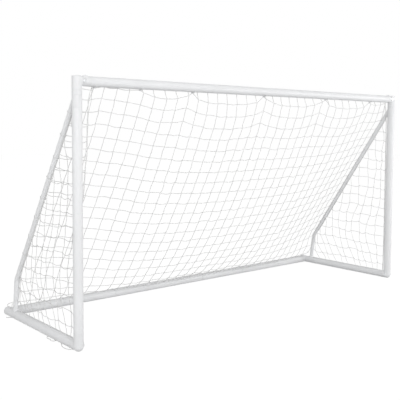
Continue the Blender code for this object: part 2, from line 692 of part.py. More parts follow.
def hook_point(y, z, turn):
    """The centre of a clip's hook, beside the bar whose axis is at (y, z)."""
    angle = CLIP_HOOK_AT + turn
    return y + HOOK_REACH * math.cos(angle), z - HOOK_REACH * math.sin(angle)


def along_polyline(points, share):
    """The point at a share of a polyline's length."""
    lengths = [(b - a).length for a, b in zip(points, points[1:])]
    left = share * sum(lengths)
    for a, b, length in zip(points, points[1:], lengths):
        if left <= length:
            return a.lerp(b, left / length)
        left -= length
    return points[-1]


def wire_net(name, mesh):
    obj = place(name, mesh, NET_WHITE)
    wire = obj.modifiers.new("Twine", "WIREFRAME")
    wire.thickness = TWINE
    wire.use_even_offset = True
    wire.use_boundary = True
    wire.use_replace = True
    return obj


def back_net():
    """Hangs from the crossbar's clips to the rear bar's, with its belly low down and held up at the stays."""
    top = hook_point(0, CROSSBAR_Z, 0.0)
    bottom = hook_point(GOAL_DEPTH, GROUND_Z, REAR_CLIP_TURN)
    by_tube = HALF_SPAN - TUBE_R / math.cos(math.pi / TUBE_SIDES) - TWINE / 2 - SEAT_GAP
    by_stay = HALF_SPAN - STAY_R / math.cos(math.pi / STAY_SIDES) - TWINE / 2 - SEAT_GAP
    behind = -STAY_FRONT * NET_EDGE_BEHIND
    stay_top = on_stay(0, STAY_LEG) + behind
    bend = Vector((0, BEND_Y, BEND_HEIGHT)) + behind
    foot = Vector((0, FOOT_Y + NET_EDGE_BEHIND, (BEND_HEIGHT - FOOT_JOINT) / 2))
    edge = [
        Vector((by_tube, *top)),
        Vector((by_stay, stay_top.y, stay_top.z)),
        Vector((by_stay, bend.y, bend.z)),
        Vector((by_stay, foot.y, foot.z)),
        Vector((by_tube, *bottom)),
    ]
    run = Vector((0, bottom[0] - top[0], bottom[1] - top[1]))
    inwards = Vector((0, run.z, -run.y)).normalized()
    start = Vector((0, *top))
    skew = math.log(0.5) / math.log(NET_DEEPEST)
    bm = bmesh.new()
    bmesh.ops.create_grid(bm, x_segments=NET_COLUMNS, y_segments=NET_ROWS, size=0.5)
    for vertex in bm.verts:
        across = vertex.co.x * 2
        share = max(0.0, 0.5 - vertex.co.y)
        belly = NET_BELLY * math.sin(math.pi * share ** skew) * math.cos(math.pi / 2 * across)
        middle = start + run * share + inwards * belly
        side = along_polyline(edge, share)
        pull = abs(across) ** NET_EDGE_PULL
        vertex.co = middle.lerp(side, pull)
        vertex.co.x = across * side.x
    mesh = bpy.data.meshes.new("net_back")
    bm.to_mesh(mesh)
    bm.free()
    wire_net("net_back", mesh)


def side_net(label, side):
    """Fills the side between upright, stay and side bar: a stepped lattice whose diagonal lies under the stay."""
    front = TUBE_R / math.cos(math.pi / TUBE_SIDES) + TWINE / 2 + SEAT_GAP
    floor = 2 * TUBE_R + TWINE / 2 + SEAT_GAP
    under = STAY_R + TWINE / 2 + SEAT_GAP
    # The diagonal runs under the stay, from behind the upright down to the level of the bend.
    reach = under / math.cos(STAY_ANGLE)
    slope = math.tan(STAY_ANGLE)
    base = BEND_HEIGHT
    back = (STAY_TOP_Z - base) * slope - reach
    apex = STAY_TOP_Z - (front + reach) / slope
    cells = SIDE_NET_CELLS
    bm = bmesh.new()
    grid = {}
    for row in range(-SIDE_NET_ROWS, cells + 1):
        for column in range(cells + 1):
            if column + max(row, 0) > cells:
                continue
            y = front + (back - front) * column / cells
            if row >= 0:
                z = base + (apex - base) * row / cells
            else:
                z = base + (floor - base) * -row / SIDE_NET_ROWS
            grid[column, row] = bm.verts.new((side * HALF_SPAN, y, z))
    for column, row in list(grid):
        corners = [(column, row), (column + 1, row), (column + 1, row + 1), (column, row + 1)]
        found = [grid[c] for c in corners if c in grid]
        if len(found) >= 3 and (column + 1, row) in grid and (column, row + 1) in grid:
            bm.faces.new(found)
    bmesh.ops.recalc_face_normals(bm, faces=bm.faces[:])
    mesh = bpy.data.meshes.new(f"net_{label}")
    bm.to_mesh(mesh)
    bm.free()
    wire_net(f"net_{label}", mesh)


def build():
    crossbar_and_rear_bar()
    uprights_and_side_bars()
    for label, side in SIDES:
        top_corner(label, side)
        foot_elbow(label, side)
        rear_corner(label, side)
        back_stay(label, side)
    net_clips()
    back_net()
    for label, side in SIDES:
        side_net(label, side)


build()
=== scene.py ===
"""Looks for the portable soccer goal: plastic tube, moulded corners, net clips and the whole knotted net.

Metres, +Z up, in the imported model's frame: X runs along the crossbar and the goal's mouth faces -Y.
"""

import math

import bmesh
import bpy
import numpy as np
from mathutils import Matrix, Vector


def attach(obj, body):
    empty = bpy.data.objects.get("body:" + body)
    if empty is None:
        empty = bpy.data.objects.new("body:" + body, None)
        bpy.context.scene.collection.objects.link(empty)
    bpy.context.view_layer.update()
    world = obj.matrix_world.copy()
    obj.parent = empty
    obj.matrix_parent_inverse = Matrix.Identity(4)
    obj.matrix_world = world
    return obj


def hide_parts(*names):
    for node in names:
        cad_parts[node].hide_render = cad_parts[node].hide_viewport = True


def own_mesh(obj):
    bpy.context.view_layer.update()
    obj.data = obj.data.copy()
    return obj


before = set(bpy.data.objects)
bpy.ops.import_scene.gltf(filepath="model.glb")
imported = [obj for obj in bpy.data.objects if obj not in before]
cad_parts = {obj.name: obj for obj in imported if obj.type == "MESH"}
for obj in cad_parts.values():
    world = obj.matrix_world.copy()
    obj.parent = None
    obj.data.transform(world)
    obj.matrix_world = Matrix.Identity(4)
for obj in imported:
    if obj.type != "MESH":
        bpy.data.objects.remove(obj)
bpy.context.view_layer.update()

UP = Vector((0, 0, 1))
BACK = Vector((0, 1, 0))
SIDES = (("left", -1), ("right", 1))

# The frame's main lines
SPAN = 1.796  # middle of the goal to the upright's axis
DEPTH = 1.06  # the uprights' axis to the rear bar's
FRONT_Y = -0.53595  # axis of the uprights and the crossbar
REAR_Y = FRONT_Y + DEPTH
CROSSBAR_Z = 1.796
TUBE_R = 0.034
GROUND_Z = TUBE_R
STAY_R = 0.019
BUTT_GAP = 0.0003  # what each tube leaves free at its ends
LEG = 0.092  # a corner's middle to the end of its sockets
UPRIGHT_LEG = 0.175  # the same down the upright, at the top
UPRIGHT_JOINT_Z = 0.93
MIDDLE_SECTION = 1.20
REAR_SLEEVE = 0.160
TAIL = 0.045
STAY_TOP_Z = CROSSBAR_Z - 0.073
STAY_LEG = 0.122
STAY_JOINT = 1.030  # the stay's top to where its two lengths meet
BEND_Z = 0.3145
BEND_RADIUS = 0.060
FOOT_TILT = math.radians(7.0)
FOOT_Y = REAR_Y - 0.090
BEND_Y = FOOT_Y - (BEND_Z - GROUND_Z) * math.tan(FOOT_TILT)
STAY_ANGLE = math.atan2(BEND_Y - FRONT_Y, STAY_TOP_Z - BEND_Z)
STAY_DOWN = Vector((0, math.sin(STAY_ANGLE), -math.cos(STAY_ANGLE)))
STAY_BACK = Vector((0, math.cos(STAY_ANGLE), math.sin(STAY_ANGLE)))
STAY_LENGTH = math.hypot(BEND_Y - FRONT_Y, STAY_TOP_Z - BEND_Z)
FOOT_DOWN = Vector((0, math.sin(FOOT_TILT), -math.cos(FOOT_TILT)))
FOOT_JOINT = 0.045  # the bend to where the foot tube starts
FOOT_SINK = 0.016  # how far the foot goes into the side bar's line

# Mouldings, and how finely round shapes are turned
TUBE_RIM = 0.0007  # rounding of a tube's end
RIM = 0.0008  # and of a moulding's
NEST = 0.0002  # legs that cross differ by this, so that their faces don't coincide
ROOT = 0.020  # a boss starts this far from the tube's axis, inside it
BOSS_R = 0.017
BOSS_TOP = TUBE_R + 0.0015
SCREW_STATION = 0.042
ELBOW_SCREW_RISE = 0.008
CORNER_ROUNDING = 0.007
CORNER_GROOVES = (-0.061, -0.093)  # heights from the crossbar's axis
CAP_THICKNESS = 0.006
CAP_ROUNDING = 0.0042
TUBE_SIDES = 56
STAY_SIDES = 40
RING_PITCH = 0.2  # rings along a tube
END_RING = 0.0015  # the last ring before a rounded end
POLE = 1e-7  # a smaller radius than this is a point on the axis
WELD = 1e-6
SHARP = 38.0  # degrees
CORD_SHARP = 80.0

# Buttons, and the leaf springs under them
BUTTON_STATION = 0.062
BUTTON_R = 0.014
BUTTON_CROWN = TUBE_R + 0.008
BUTTON_DROP = 0.005
FLANGE_R = 0.0172
BUTTON_TRAVEL = 0.0108
COLLAR_R = 0.020
COLLAR_TOP = TUBE_R + 0.003
COLLAR_ROOT = 0.026
WELL_R = 0.0146
WELL_RING = 0.0165  # extra rings this far to each side keep the shading even
SHELL_R = 0.0288  # inside of the corner's leg, where the button's flange moves
SNAP_SPREAD = 0.064
SNAP_R = 0.004
SNAP_HOLE_R = 0.0044
SNAP_RING = 0.009
SNAP_TRAVEL = 0.0065

# Net clips
CROSSBAR_CLIPS = (-1.66, -1.28, -0.80, -0.03, 0.77, 1.44)
REAR_CLIPS = (-1.32, -0.81, 0.22, 0.77, 1.32)
CLIP_BORE = 0.0350
CLIP_R = 0.0377
CLIP_WIDTH = 0.018
CLIP_EDGE = 0.0005
CLIP_ENDS = (math.radians(-65.0), math.radians(135.0))
CLIP_HOOK_AT = math.radians(80.0)
REAR_CLIP_TURN = math.radians(-125.0)
HOOK_BORE = 0.0028
HOOK_THICKNESS = 0.0022
HOOK_REACH = 0.04057
HOOK_OPENING = math.radians(70.0)

# Net
TWINE = 0.0042
CORD = 0.0050
KNOT = 0.0030
NET_COLUMNS = 34
NET_ROWS = 21  # the first one hangs behind the crossbar, from the border cord down to the clips
NET_HALF = SPAN - STAY_R - 0.003  # its edges run beside the stays, this far from the middle
NET_FOOT_HALF = SPAN - TUBE_R - 0.012  # and this far at the rear bar
NET_DOWN = 0.1008  # knot to knot down the back
NET_ACROSS = 0.1048  # and across it, where the cords hold it stretched between the stays
NET_ACROSS_TOP = 0.1060  # the first row is slacker, and drapes from clip to clip
SPARE = 0.0005  # each string is this much longer than its mesh
CLIP_DROP = 0.018  # the knots that the clips hold hang this far below the hooks
BORDER_Z = CROSSBAR_Z - 0.010
BORDER_Y = FRONT_Y + CLIP_R + 0.0030
LEFT_FOLD = 0.11  # share of the width that the left stay's lacing draws up
LEFT_LIFT = 0.036
RIGHT_FOLD = 0.72  # share of the width at which the right stay's lacing starts to draw
RIGHT_LIFT = 0.07
SIDE_COLUMNS = 12
SIDE_ROWS = 17
SIDE_COLUMN = 0.0905
SIDE_ROW = 0.0965
SIDE_FIRST = (0.036, 0.051)  # where the columns start behind the upright, and the rows above the floor
SIDE_FLOOR = 2 * TUBE_R + 0.004
SIDE_BULGE = 0.012
LACING_PITCH = 0.18
STRING_SIDES = 5
STRING_PIECES = 4
STRING_WANDER = 0.0022
STRING_SAG = 0.012  # at most
RANDOM = np.random.default_rng(11)


def put(tree, socket, value):
    """Links a node's output to a socket, or sets a plain value there."""
    if isinstance(value, bpy.types.Node):
        value = value.outputs[0]
    if isinstance(value, bpy.types.NodeSocket):
        tree.links.new(value, socket)
    else:
        socket.default_value = value


def adjust(thing, **values):
    for key, value in values.items():
        setattr(thing, key, value)
    return thing


def fill(tree, node, *terms, **values):
    """Gives a node its inputs, in order or by name, and its settings."""
    for socket, term in zip(node.inputs, terms):
        put(tree, socket, term)
    for key, value in values.items():
        name = key.replace("_", " ")
        if name in node.inputs:
            put(tree, node.inputs[name], value)
        else:
            setattr(node, key, value)
    return node


def add(tree, kind, *terms, **values):
    return fill(tree, tree.nodes.new(f"ShaderNode{kind}"), *terms, **values)


def maths(tree, operation, *terms):
    return add(tree, "Math", *terms, operation=operation)


def ramp(tree, source, *stops):
    node = add(tree, "ValToRGB", source)
    for element, (position, colour) in zip(node.color_ramp.elements, stops):
        element.position = position
        element.color = (*colour, 1.0)
    return node


def grey(value):
    return (value, value, value)


def shade(colour, amount):
    return tuple(part * amount for part in colour)


def node_graph(name):
    material = bpy.data.materials.new(name)
    material.use_nodes = True
    tree = material.node_tree
    return material, tree, tree.nodes["Principled BSDF"]


def plastic(name, colour, roughness, extruded):
    """White plastic. Extruded tube has faint draw lines along it, a moulding a fine spark-eroded grain."""
    material, tree, shader = node_graph(name)
    place = add(tree, "TexCoord").outputs["Object"]
    lines = add(tree, "Mapping", Vector=add(tree, "UVMap"), Scale=(46.0, 1.1, 1.0)) if extruded else place
    grain = add(tree, "TexNoise", Vector=lines, Scale=3.0 if extruded else 1400.0, Detail=6.0)
    clouds = add(tree, "TexNoise", Vector=place, Scale=5.0, Detail=5.0, Roughness=0.6)
    scuffs = add(tree, "TexNoise", Vector=place, Scale=60.0, Detail=8.0, Roughness=0.75)
    dust = ramp(tree, scuffs, (0.58, grey(0.0)), (0.72, grey(1.0)))
    patches = ramp(tree, clouds, (0.50, grey(0.0)), (0.80, grey(1.0)))
    amount = maths(tree, "MULTIPLY", dust, patches)
    tone = ramp(tree, clouds, (0.30, shade(colour, 0.965)), (0.65, colour))
    mix = add(tree, "Mix", data_type="RGBA", Factor=amount, A=tone, B=(*shade(colour, 0.90), 1.0))
    gloss = ramp(tree, grain, (0.25, grey(roughness - 0.05)), (0.8, grey(roughness + 0.10)))
    bump = add(tree, "Bump", Height=grain, Strength=0.10 if extruded else 0.16, Distance=0.0004)
    fill(tree, shader, Base_Color=mix.outputs["Result"], Roughness=gloss, Normal=bump, IOR=1.53,
         Specular_IOR_Level=0.3, Subsurface_Weight=0.06, Subsurface_Radius=(0.006, 0.006, 0.006))
    return material


def twine_material(name, colour, twist, strands):
    """Twisted white twine with painted shade in the grooves between its strands: V runs along the string in
    metres and U goes round it.
    """
    material, tree, shader = node_graph(name)
    place = add(tree, "TexCoord").outputs["Object"]
    split = add(tree, "SeparateXYZ", add(tree, "UVMap")).outputs
    phase = maths(tree, "ADD", maths(tree, "MULTIPLY", split["Y"], twist),
                  maths(tree, "MULTIPLY", split["X"], strands))
    lay = maths(tree, "SINE", maths(tree, "MULTIPLY", phase, 2 * math.pi))
    height = add(tree, "MapRange", Value=lay, From_Min=-1.0)
    fibres = add(tree, "TexNoise", Vector=place, Scale=900.0, Detail=4.0)
    # Painted shade: the base colour is darker down in the grooves between the strands, where the twist would
    # shade them.
    groove = ramp(tree, height, (0.05, shade(colour, 0.78)), (0.55, colour))
    fuzz = ramp(tree, fibres, (0.3, grey(0.90)), (0.7, grey(1.0)))
    mix = add(tree, "Mix", data_type="RGBA", blend_type="MULTIPLY", Factor=1.0, A=groove, B=fuzz)
    bump = add(tree, "Bump", Height=height, Strength=0.6, Distance=0.0006)
    fill(tree, shader, Base_Color=mix.outputs["Result"], Roughness=0.78, Normal=bump, Sheen_Weight=0.25)
    return material


def steel_material(name):
    material, tree, shader = node_graph(name)
    place = add(tree, "TexCoord").outputs["Object"]
    spangle = add(tree, "TexVoronoi", Vector=place, Scale=420.0)
    brush = add(tree, "TexNoise", Vector=place, Scale=700.0, Detail=3.0)
    tone = ramp(tree, spangle, (0.0, (0.60, 0.61, 0.63)), (0.6, (0.70, 0.71, 0.72)))
    rough = ramp(tree, brush, (0.3, grey(0.26)), (0.7, grey(0.42)))
    bump = add(tree, "Bump", Height=brush, Strength=0.12, Distance=0.0002)
    fill(tree, shader, Base_Color=tone, Roughness=rough, Normal=bump, Metallic=1.0)
    return material


# Each finish: its material, and the record's material slot
TUBE_FINISH = (plastic("tube_white", (0.83, 0.835, 0.845), 0.38, extruded=True), "tube_plastic")
FITTING_FINISH = (plastic("fitting_white", (0.81, 0.815, 0.825), 0.44, extruded=False), "fitting_plastic")
TWINE_FINISH = (twine_material("net_twine_white", (0.82, 0.82, 0.815), 140.0, 3.0), "net_twine")
CORD_FINISH = (twine_material("border_cord_white", (0.84, 0.84, 0.835), 95.0, 4.0), "net_twine")
STEEL_FINISH = (steel_material("zinc_plate"), "zinc_steel")


def new_object(name, data):
    obj = bpy.data.objects.new(name, data)
    bpy.context.scene.collection.objects.link(obj)
    return obj


def tangents(path):
    return [(after - before).normalized() for before, after in zip(path[:1] + path, path[1:] + path[-1:])]


class Skin:
    """Gathers swept tubes, turned shapes and knots into one mesh, with U round each shape and V along it."""

    def __init__(self):
        self.points = []
        self.faces = []
        self.uvs = []

    def ring_faces(self, first, second, count, low, high):
        for k in range(count):
            n = (k + 1) % count
            self.faces.append((first + k, first + n, second + n, second + k))
            u0, u1 = k / count, (k + 1) / count
            self.uvs += [(u0, low), (u1, low), (u1, high), (u0, high)]

    def cap(self, first, count, at, flip):
        ring = tuple(range(first, first + count))
        self.faces.append(ring[::-1] if flip else ring)
        self.uvs += [(k / count, at) for k in range(count)]

    def loft(self, path, rings):
        """A closed shape of rings of points, one at each point of a path."""
        start, count = len(self.points), len(rings[0])
        travelled = 0.0
        for i, ring in enumerate(rings):
            here = start + i * count
            self.points += ring
            if i:
                step = (path[i] - path[i - 1]).length
                self.ring_faces(here - count, here, count, travelled, travelled + step)
                travelled += step
        self.cap(start, count, 0.0, True)
        self.cap(here, count, travelled, False)

    def sweep(self, path, radius, sides):
        """A round tube along a path of points."""
        path = [Vector(p) for p in path]
        angles = [2 * math.pi * k / sides for k in range(sides)]
        rings = []
        normal = None
        for point, tangent in zip(path, tangents(path)):
            if normal is None:
                pick = UP if abs(tangent.z) < 0.9 else Vector((1, 0, 0))
                normal = tangent.cross(pick).normalized()
            else:
                normal = (normal - tangent * normal.dot(tangent)).normalized()
            side = tangent.cross(normal)
            rings.append([point + (normal * math.cos(a) + side * math.sin(a)) * radius for a in angles])
        self.loft(path, rings)

    def turn(self, profile, at, axis, sides, twist=0.0):
        """A profile of (radius, height) points turned round an axis through at."""
        at = Vector(at)
        rotation = Vector(axis).normalized().to_track_quat("Z", "Y").to_matrix()
        heights = [0.0]
        for (r0, h0), (r1, h1) in zip(profile, profile[1:]):
            heights.append(heights[-1] + math.hypot(r1 - r0, h1 - h0))
        starts = []
        for radius, height in profile:
            starts.append(len(self.points))
            for k in range(1 if radius < POLE else sides):
                angle = 2 * math.pi * k / sides + twist
                local = Vector((radius * math.cos(angle), radius * math.sin(angle), height))
                self.points.append(at + rotation @ local)
        for i in range(len(profile) - 1):
            from_pole, to_pole = profile[i][0] < POLE, profile[i + 1][0] < POLE
            a, b = starts[i:i + 2]
            low, high = heights[i:i + 2]
            if not from_pole and not to_pole:
                self.ring_faces(a, b, sides, low, high)
                continue
            for k in range(sides):
                n = (k + 1) % sides
                u0, u1 = k / sides, (k + 1) / sides
                if from_pole:
                    self.faces.append((a, b + n, b + k))
                    self.uvs += [((u0 + u1) / 2, low), (u1, high), (u0, high)]
                else:
                    self.faces.append((a + k, a + n, b))
                    self.uvs += [(u0, low), (u1, low), ((u0 + u1) / 2, high)]

    def build(self, name, material=None, sharp=SHARP):
        mesh = bpy.data.meshes.new(name)
        mesh.from_pydata([tuple(p) for p in self.points], [], self.faces)
        layer = mesh.uv_layers.new(name="UVMap")
        layer.data.foreach_set("uv", np.array(self.uvs, np.float32).ravel())
        mesh.validate()
        outward(mesh)
        settle(mesh, sharp)
        if material:
            mesh.materials.append(material)
        return new_object(name, mesh)


def settle(mesh, sharp=SHARP):
    mesh.shade_smooth()
    mesh.set_sharp_from_angle(angle=math.radians(sharp))


def outward(mesh, weld=0.0):
    """Turns every face outwards, after joining points closer than weld."""
    whole = bmesh.new()
    whole.from_mesh(mesh)
    if weld:
        bmesh.ops.remove_doubles(whole, verts=whole.verts, dist=weld)
    bmesh.ops.recalc_face_normals(whole, faces=whole.faces)
    whole.to_mesh(mesh)
    whole.free()


def show(skin, name, finish, body="frame", sharp=SHARP, replaces=True):
    """A piece on its body, with its finish's material. Most are seen in place of the CAD node with the same
    name.
    """
    material, slot = finish
    obj = skin.build(f"look_{name}", material, sharp)
    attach(obj, body)
    if replaces:
        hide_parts(name)
    return obj


def turned(node, finish, sides, *shapes, body="frame"):
    """A piece of turned shapes that run into each other, each as (profile, at, axis)."""
    skin = Skin()
    for profile, at, axis in shapes:
        skin.turn(profile, at, axis, sides)
    return show(skin, node, finish, body)


def drill(obj, at, axis, radius, low, high, sides=32):
    """Cuts a round hole from low to high along an axis."""
    cutter = Skin()
    cutter.turn([(0, high), (radius, high), (radius, low), (0, low)], at, axis, sides)
    tool = cutter.build("drill")
    outward(obj.data, WELD)
    outward(tool.data, WELD)
    adjust(obj.modifiers.new("Hole", "BOOLEAN"), operation="DIFFERENCE", solver="EXACT", object=tool)
    bpy.context.view_layer.update()
    graph = bpy.context.evaluated_depsgraph_get()
    whole = obj.evaluated_get(graph)
    mesh = bpy.data.meshes.new_from_object(whole, preserve_all_data_layers=True, depsgraph=graph)
    obj.modifiers.clear()
    obj.data = mesh
    bpy.data.objects.remove(tool)
    settle(mesh)


def merge(obj, other):
    joined = bmesh.new()
    joined.from_mesh(obj.data)
    joined.from_mesh(other.data)
    joined.to_mesh(obj.data)
    joined.free()
    bpy.data.objects.remove(other)
    settle(obj.data)


def shoulder(radius, top, edge, drop, steps):
    """The rounding from a turned shape's top to its side, edge wide and drop high."""
    angles = [math.pi / 2 * i / steps for i in range(steps + 1)]
    return [(radius - edge + edge * math.sin(a), top - drop + drop * math.cos(a)) for a in angles]


def rounded(radius, low, high, edge=RIM):
    """A closed cylinder's profile from high to low, with both rims rounded."""
    top = shoulder(radius, high, edge, edge, 4)
    bottom = [(r, low + high - height) for r, height in reversed(top)]
    ring = min(0.002, (high - low) / 4)
    return [(0.0, high), *top, (radius, high - edge - ring), (radius, low + edge + ring), *bottom, (0.0, low)]


# The groove round a joint, as (depth, height)
GROOVE = [(0, 0.0033), (0, 0.0018), (0.00208, 0.0009), (0.0026, 0)]
GROOVE += [(depth, -height) for depth, height in GROOVE[-2::-1]]


def grooved(radius, top, bottom, edge, stations):
    """A closed cylinder's profile with a rounded top and a groove at each station."""
    profile = [(0.0, top), *shoulder(radius, top, edge, edge, 5), (radius, top - edge - 0.002)]
    for station in stations:
        profile += [(radius - depth, station + height) for depth, height in GROOVE]
    profile += [(radius, bottom + 0.0025), (radius, bottom + RIM), (radius - RIM, bottom), (0.0, bottom)]
    return profile


# The ring round each lock button, and the leg that the button goes through
BUTTON_COLLAR = [
    (WELL_R, COLLAR_TOP - 0.0006), (WELL_R + 0.0006, COLLAR_TOP), (COLLAR_R - 0.0012, COLLAR_TOP),
    (COLLAR_R - 0.00035, COLLAR_TOP - 0.00035), (COLLAR_R, COLLAR_TOP - 0.0012),
    (COLLAR_R, COLLAR_TOP - 0.0032), (COLLAR_R, COLLAR_ROOT), (WELL_R, COLLAR_ROOT),
    (WELL_R, COLLAR_TOP - 0.0006),
]
LEG_RINGS = (LEG - 0.0010, LEG - 0.0030, BUTTON_STATION + WELL_RING, BUTTON_STATION - WELL_RING, 0.0)
HOLLOW_LEG = [
    (SHELL_R, LEG), (TUBE_R - 0.001, LEG), (TUBE_R - 2 * NEST, LEG - 0.0003),
    *((TUBE_R - NEST, height) for height in LEG_RINGS), (SHELL_R, 0.0), (SHELL_R, LEG),
]

# The buttons, the screws with their bosses, the ball of a foot and the end cap
LOCK_BUTTON = [
    *shoulder(BUTTON_R, BUTTON_CROWN, BUTTON_R, BUTTON_DROP, 8), (BUTTON_R, 0.0230), (FLANGE_R, 0.0225),
    (FLANGE_R, 0.0196), (0, 0.0196),
]
SNAP_BUTTON = [
    (0, STAY_R + 0.004), (0.0022, STAY_R + 0.0037), (0.0034, STAY_R + 0.0031), (SNAP_R, STAY_R + 0.0022),
    (SNAP_R, 0.0127), (0.006, 0.0127), (0.006, 0.0113), (0, 0.0113),
]
SCREW_BOSS = rounded(BOSS_R, ROOT, BOSS_TOP)
SCREW_CUP = [
    (0, 0.0021), (0.0085, 0.0021), (0.0098, 0.0026), (0.0115, 0.0033), (0.0130, 0.0031), (0.0148, 0.0016),
    (0.0155, 0.0003), (0.0, 0.0003),
]
SCREW_HEAD = [
    (0, 0.0037), (0.0016, 0.0037), (0.0032, 0.0035), (0.0043, 0.0030), (0.0048, 0.0022), (0.0048, 0.0015),
    (0, 0.0015),
]
BALL = shoulder(TUBE_R, TUBE_R, TUBE_R, TUBE_R, 12)
BALL += [(radius, -height) for radius, height in BALL[-2::-1]]
END_CAP = [(0, CAP_THICKNESS), *shoulder(TUBE_R, CAP_THICKNESS, CAP_ROUNDING, CAP_ROUNDING, 5)]
END_CAP += [(TUBE_R, 0.0), (0, 0.0)]

# Each kind of button: its profile, sides and finish, its spring's heights (top, floor), runs (contact, reach)
# and section (width, thickness), and how far it goes in
LOCK = (LOCK_BUTTON, 40, FITTING_FINISH, (0.0191, 0.0278), (0.0084, 0.045), (0.012, 0.0010), BUTTON_TRAVEL)
SNAP = (SNAP_BUTTON, 20, STEEL_FINISH, (0.0111, 0.0139), (SNAP_R, 0.030), (0.006, 0.0008), SNAP_TRAVEL)


def tube_piece(node, at, axis, length, radius=TUBE_R, sides=TUBE_SIDES, rings=()):
    """A straight tube from at with rounded rims. Extra rings keep the shading even round a hole."""
    low, high = BUTT_GAP, length - BUTT_GAP
    edge, cut = TUBE_RIM, TUBE_RIM * 0.3
    count = max(2, int(length / RING_PITCH))
    stations = [high - edge - (length - 2 * edge) * i / count for i in range(1, count)]
    stations += [high - edge - END_RING, low + edge + END_RING, *rings]
    profile = [(0, high), (radius - edge, high), (radius - cut, high - cut), (radius, high - edge)]
    profile += [(radius, station) for station in sorted(stations, reverse=True)]
    profile += [(radius, low + edge), (radius - cut, low + cut), (radius - edge, low), (0, low)]
    return turned(node, TUBE_FINISH, sides, (profile, at, axis))


def corner_point(side, z):
    return Vector((side * SPAN, FRONT_Y, z))


def on_stay(side, distance):
    return corner_point(side, STAY_TOP_Z) + STAY_DOWN * distance


def straight_tubes():
    reach = SPAN - LEG
    outer = reach - MIDDLE_SECTION / 2
    for bar, y, z in (("crossbar", FRONT_Y, CROSSBAR_Z), ("rear_bar", REAR_Y, GROUND_Z)):
        tube_piece(f"{bar}_middle", (-MIDDLE_SECTION / 2, y, z), (1, 0, 0), MIDDLE_SECTION)
        for label, side in SIDES:
            tube_piece(f"{bar}_{label}", (side * reach, y, z), (-side, 0, 0), outer)
    for label, side in SIDES:
        foot = corner_point(side, GROUND_Z + LEG)
        joint = corner_point(side, UPRIGHT_JOINT_Z)
        tube_piece(f"upright_lower_{label}", foot, UP, joint.z - foot.z)
        tube_piece(f"upright_upper_{label}", joint, UP, CROSSBAR_Z - UPRIGHT_LEG - joint.z)
        start = Vector((side * SPAN, FRONT_Y + LEG, GROUND_Z))
        tube_piece(f"side_bar_{label}", start, BACK, DEPTH - REAR_SLEEVE - LEG)


def bent_path(side):
    """The lower stay's centre line: straight, round the bend, and on to the foot's joint line."""
    bend = Vector((side * SPAN, BEND_Y, BEND_Z))
    turn = STAY_ANGLE - FOOT_TILT
    straight_end = bend - STAY_DOWN * (BEND_RADIUS * math.tan(turn / 2))
    pivot = straight_end - STAY_BACK * BEND_RADIUS
    runs = (BUTT_GAP, SNAP_SPREAD - SNAP_RING, SNAP_SPREAD + SNAP_RING, SNAP_SPREAD + 0.10)
    path = [on_stay(side, STAY_JOINT + run) for run in runs]
    path += [path[-1].lerp(straight_end, i / 2) for i in (1, 2)]
    arm = straight_end - pivot
    for i in range(1, 13):
        path.append(pivot + Matrix.Rotation(-turn * i / 12, 3, "X") @ arm)
    path.append(bend + FOOT_DOWN * (FOOT_JOINT - BUTT_GAP))
    return path


def stays():
    upper_length = STAY_JOINT - STAY_LEG
    snap = upper_length - SNAP_SPREAD
    for label, side in SIDES:
        upper = tube_piece(f"stay_upper_{label}", on_stay(side, STAY_LEG), STAY_DOWN, upper_length, STAY_R,
                           STAY_SIDES, rings=(snap - SNAP_RING, snap + SNAP_RING))
        skin = Skin()
        skin.sweep(bent_path(side), STAY_R, STAY_SIDES)
        lower = show(skin, f"stay_lower_{label}", TUBE_FINISH)
        for stay, distance in ((upper, -SNAP_SPREAD), (lower, SNAP_SPREAD)):
            at = on_stay(side, STAY_JOINT + distance)
            drill(stay, at, (-side, 0, 0), SNAP_HOLE_R, 0.015, STAY_R + 0.002, 24)
        foot_top = Vector((side * SPAN, BEND_Y, BEND_Z)) + FOOT_DOWN * FOOT_JOINT
        length = (foot_top.z - (2 * TUBE_R - FOOT_SINK)) / math.cos(FOOT_TILT)
        tube_piece(f"stay_foot_{label}", foot_top, FOOT_DOWN, length, STAY_R, STAY_SIDES)


def fitting(node, *shapes):
    return turned(node, FITTING_FINISH, TUBE_SIDES, *shapes)


def corners():
    for label, side in SIDES:
        inward = Vector((-side, 0, 0))
        centre = corner_point(side, CROSSBAR_Z)
        button_at = centre + inward * BUTTON_STATION
        corner = fitting(
            f"top_corner_{label}",
            (grooved(TUBE_R, TUBE_R, -UPRIGHT_LEG, CORNER_ROUNDING, CORNER_GROOVES), centre, UP),
            (rounded(STAY_R, ROOT, STAY_LEG), corner_point(side, STAY_TOP_Z), STAY_DOWN),
            (BUTTON_COLLAR, button_at, UP),
            (SCREW_BOSS, centre + inward * SCREW_STATION, -BACK),
        )
        skin = Skin()
        skin.turn(HOLLOW_LEG, centre, inward, TUBE_SIDES)
        leg = skin.build("leg", FITTING_FINISH[0])
        drill(leg, button_at, UP, WELL_R + 0.0003, ROOT, TUBE_R + 0.010)
        outward(corner.data, WELD)
        merge(corner, leg)
        centre = corner_point(side, GROUND_Z)
        fitting(
            f"foot_elbow_{label}",
            (BALL, centre, inward),
            (rounded(TUBE_R, 0.0, LEG), centre, BACK),
            (rounded(TUBE_R - NEST, 0.0, LEG), centre, UP),
            (SCREW_BOSS, centre + UP * ELBOW_SCREW_RISE, inward),
        )
        centre = Vector((side * SPAN, REAR_Y, GROUND_Z))
        foot = Vector((side * SPAN, FOOT_Y, GROUND_Z))
        fitting(
            f"rear_corner_{label}",
            (rounded(TUBE_R, -REAR_SLEEVE, TAIL), centre, BACK),
            (rounded(TUBE_R - NEST, 0.0, LEG), centre, inward),
            (rounded(STAY_R + 0.004, ROOT, TUBE_R + 0.006, 2 * RIM), foot, -FOOT_DOWN),
        )
        fitting(f"end_cap_{label}", (END_CAP, centre + BACK * (TAIL + BUTT_GAP), BACK))


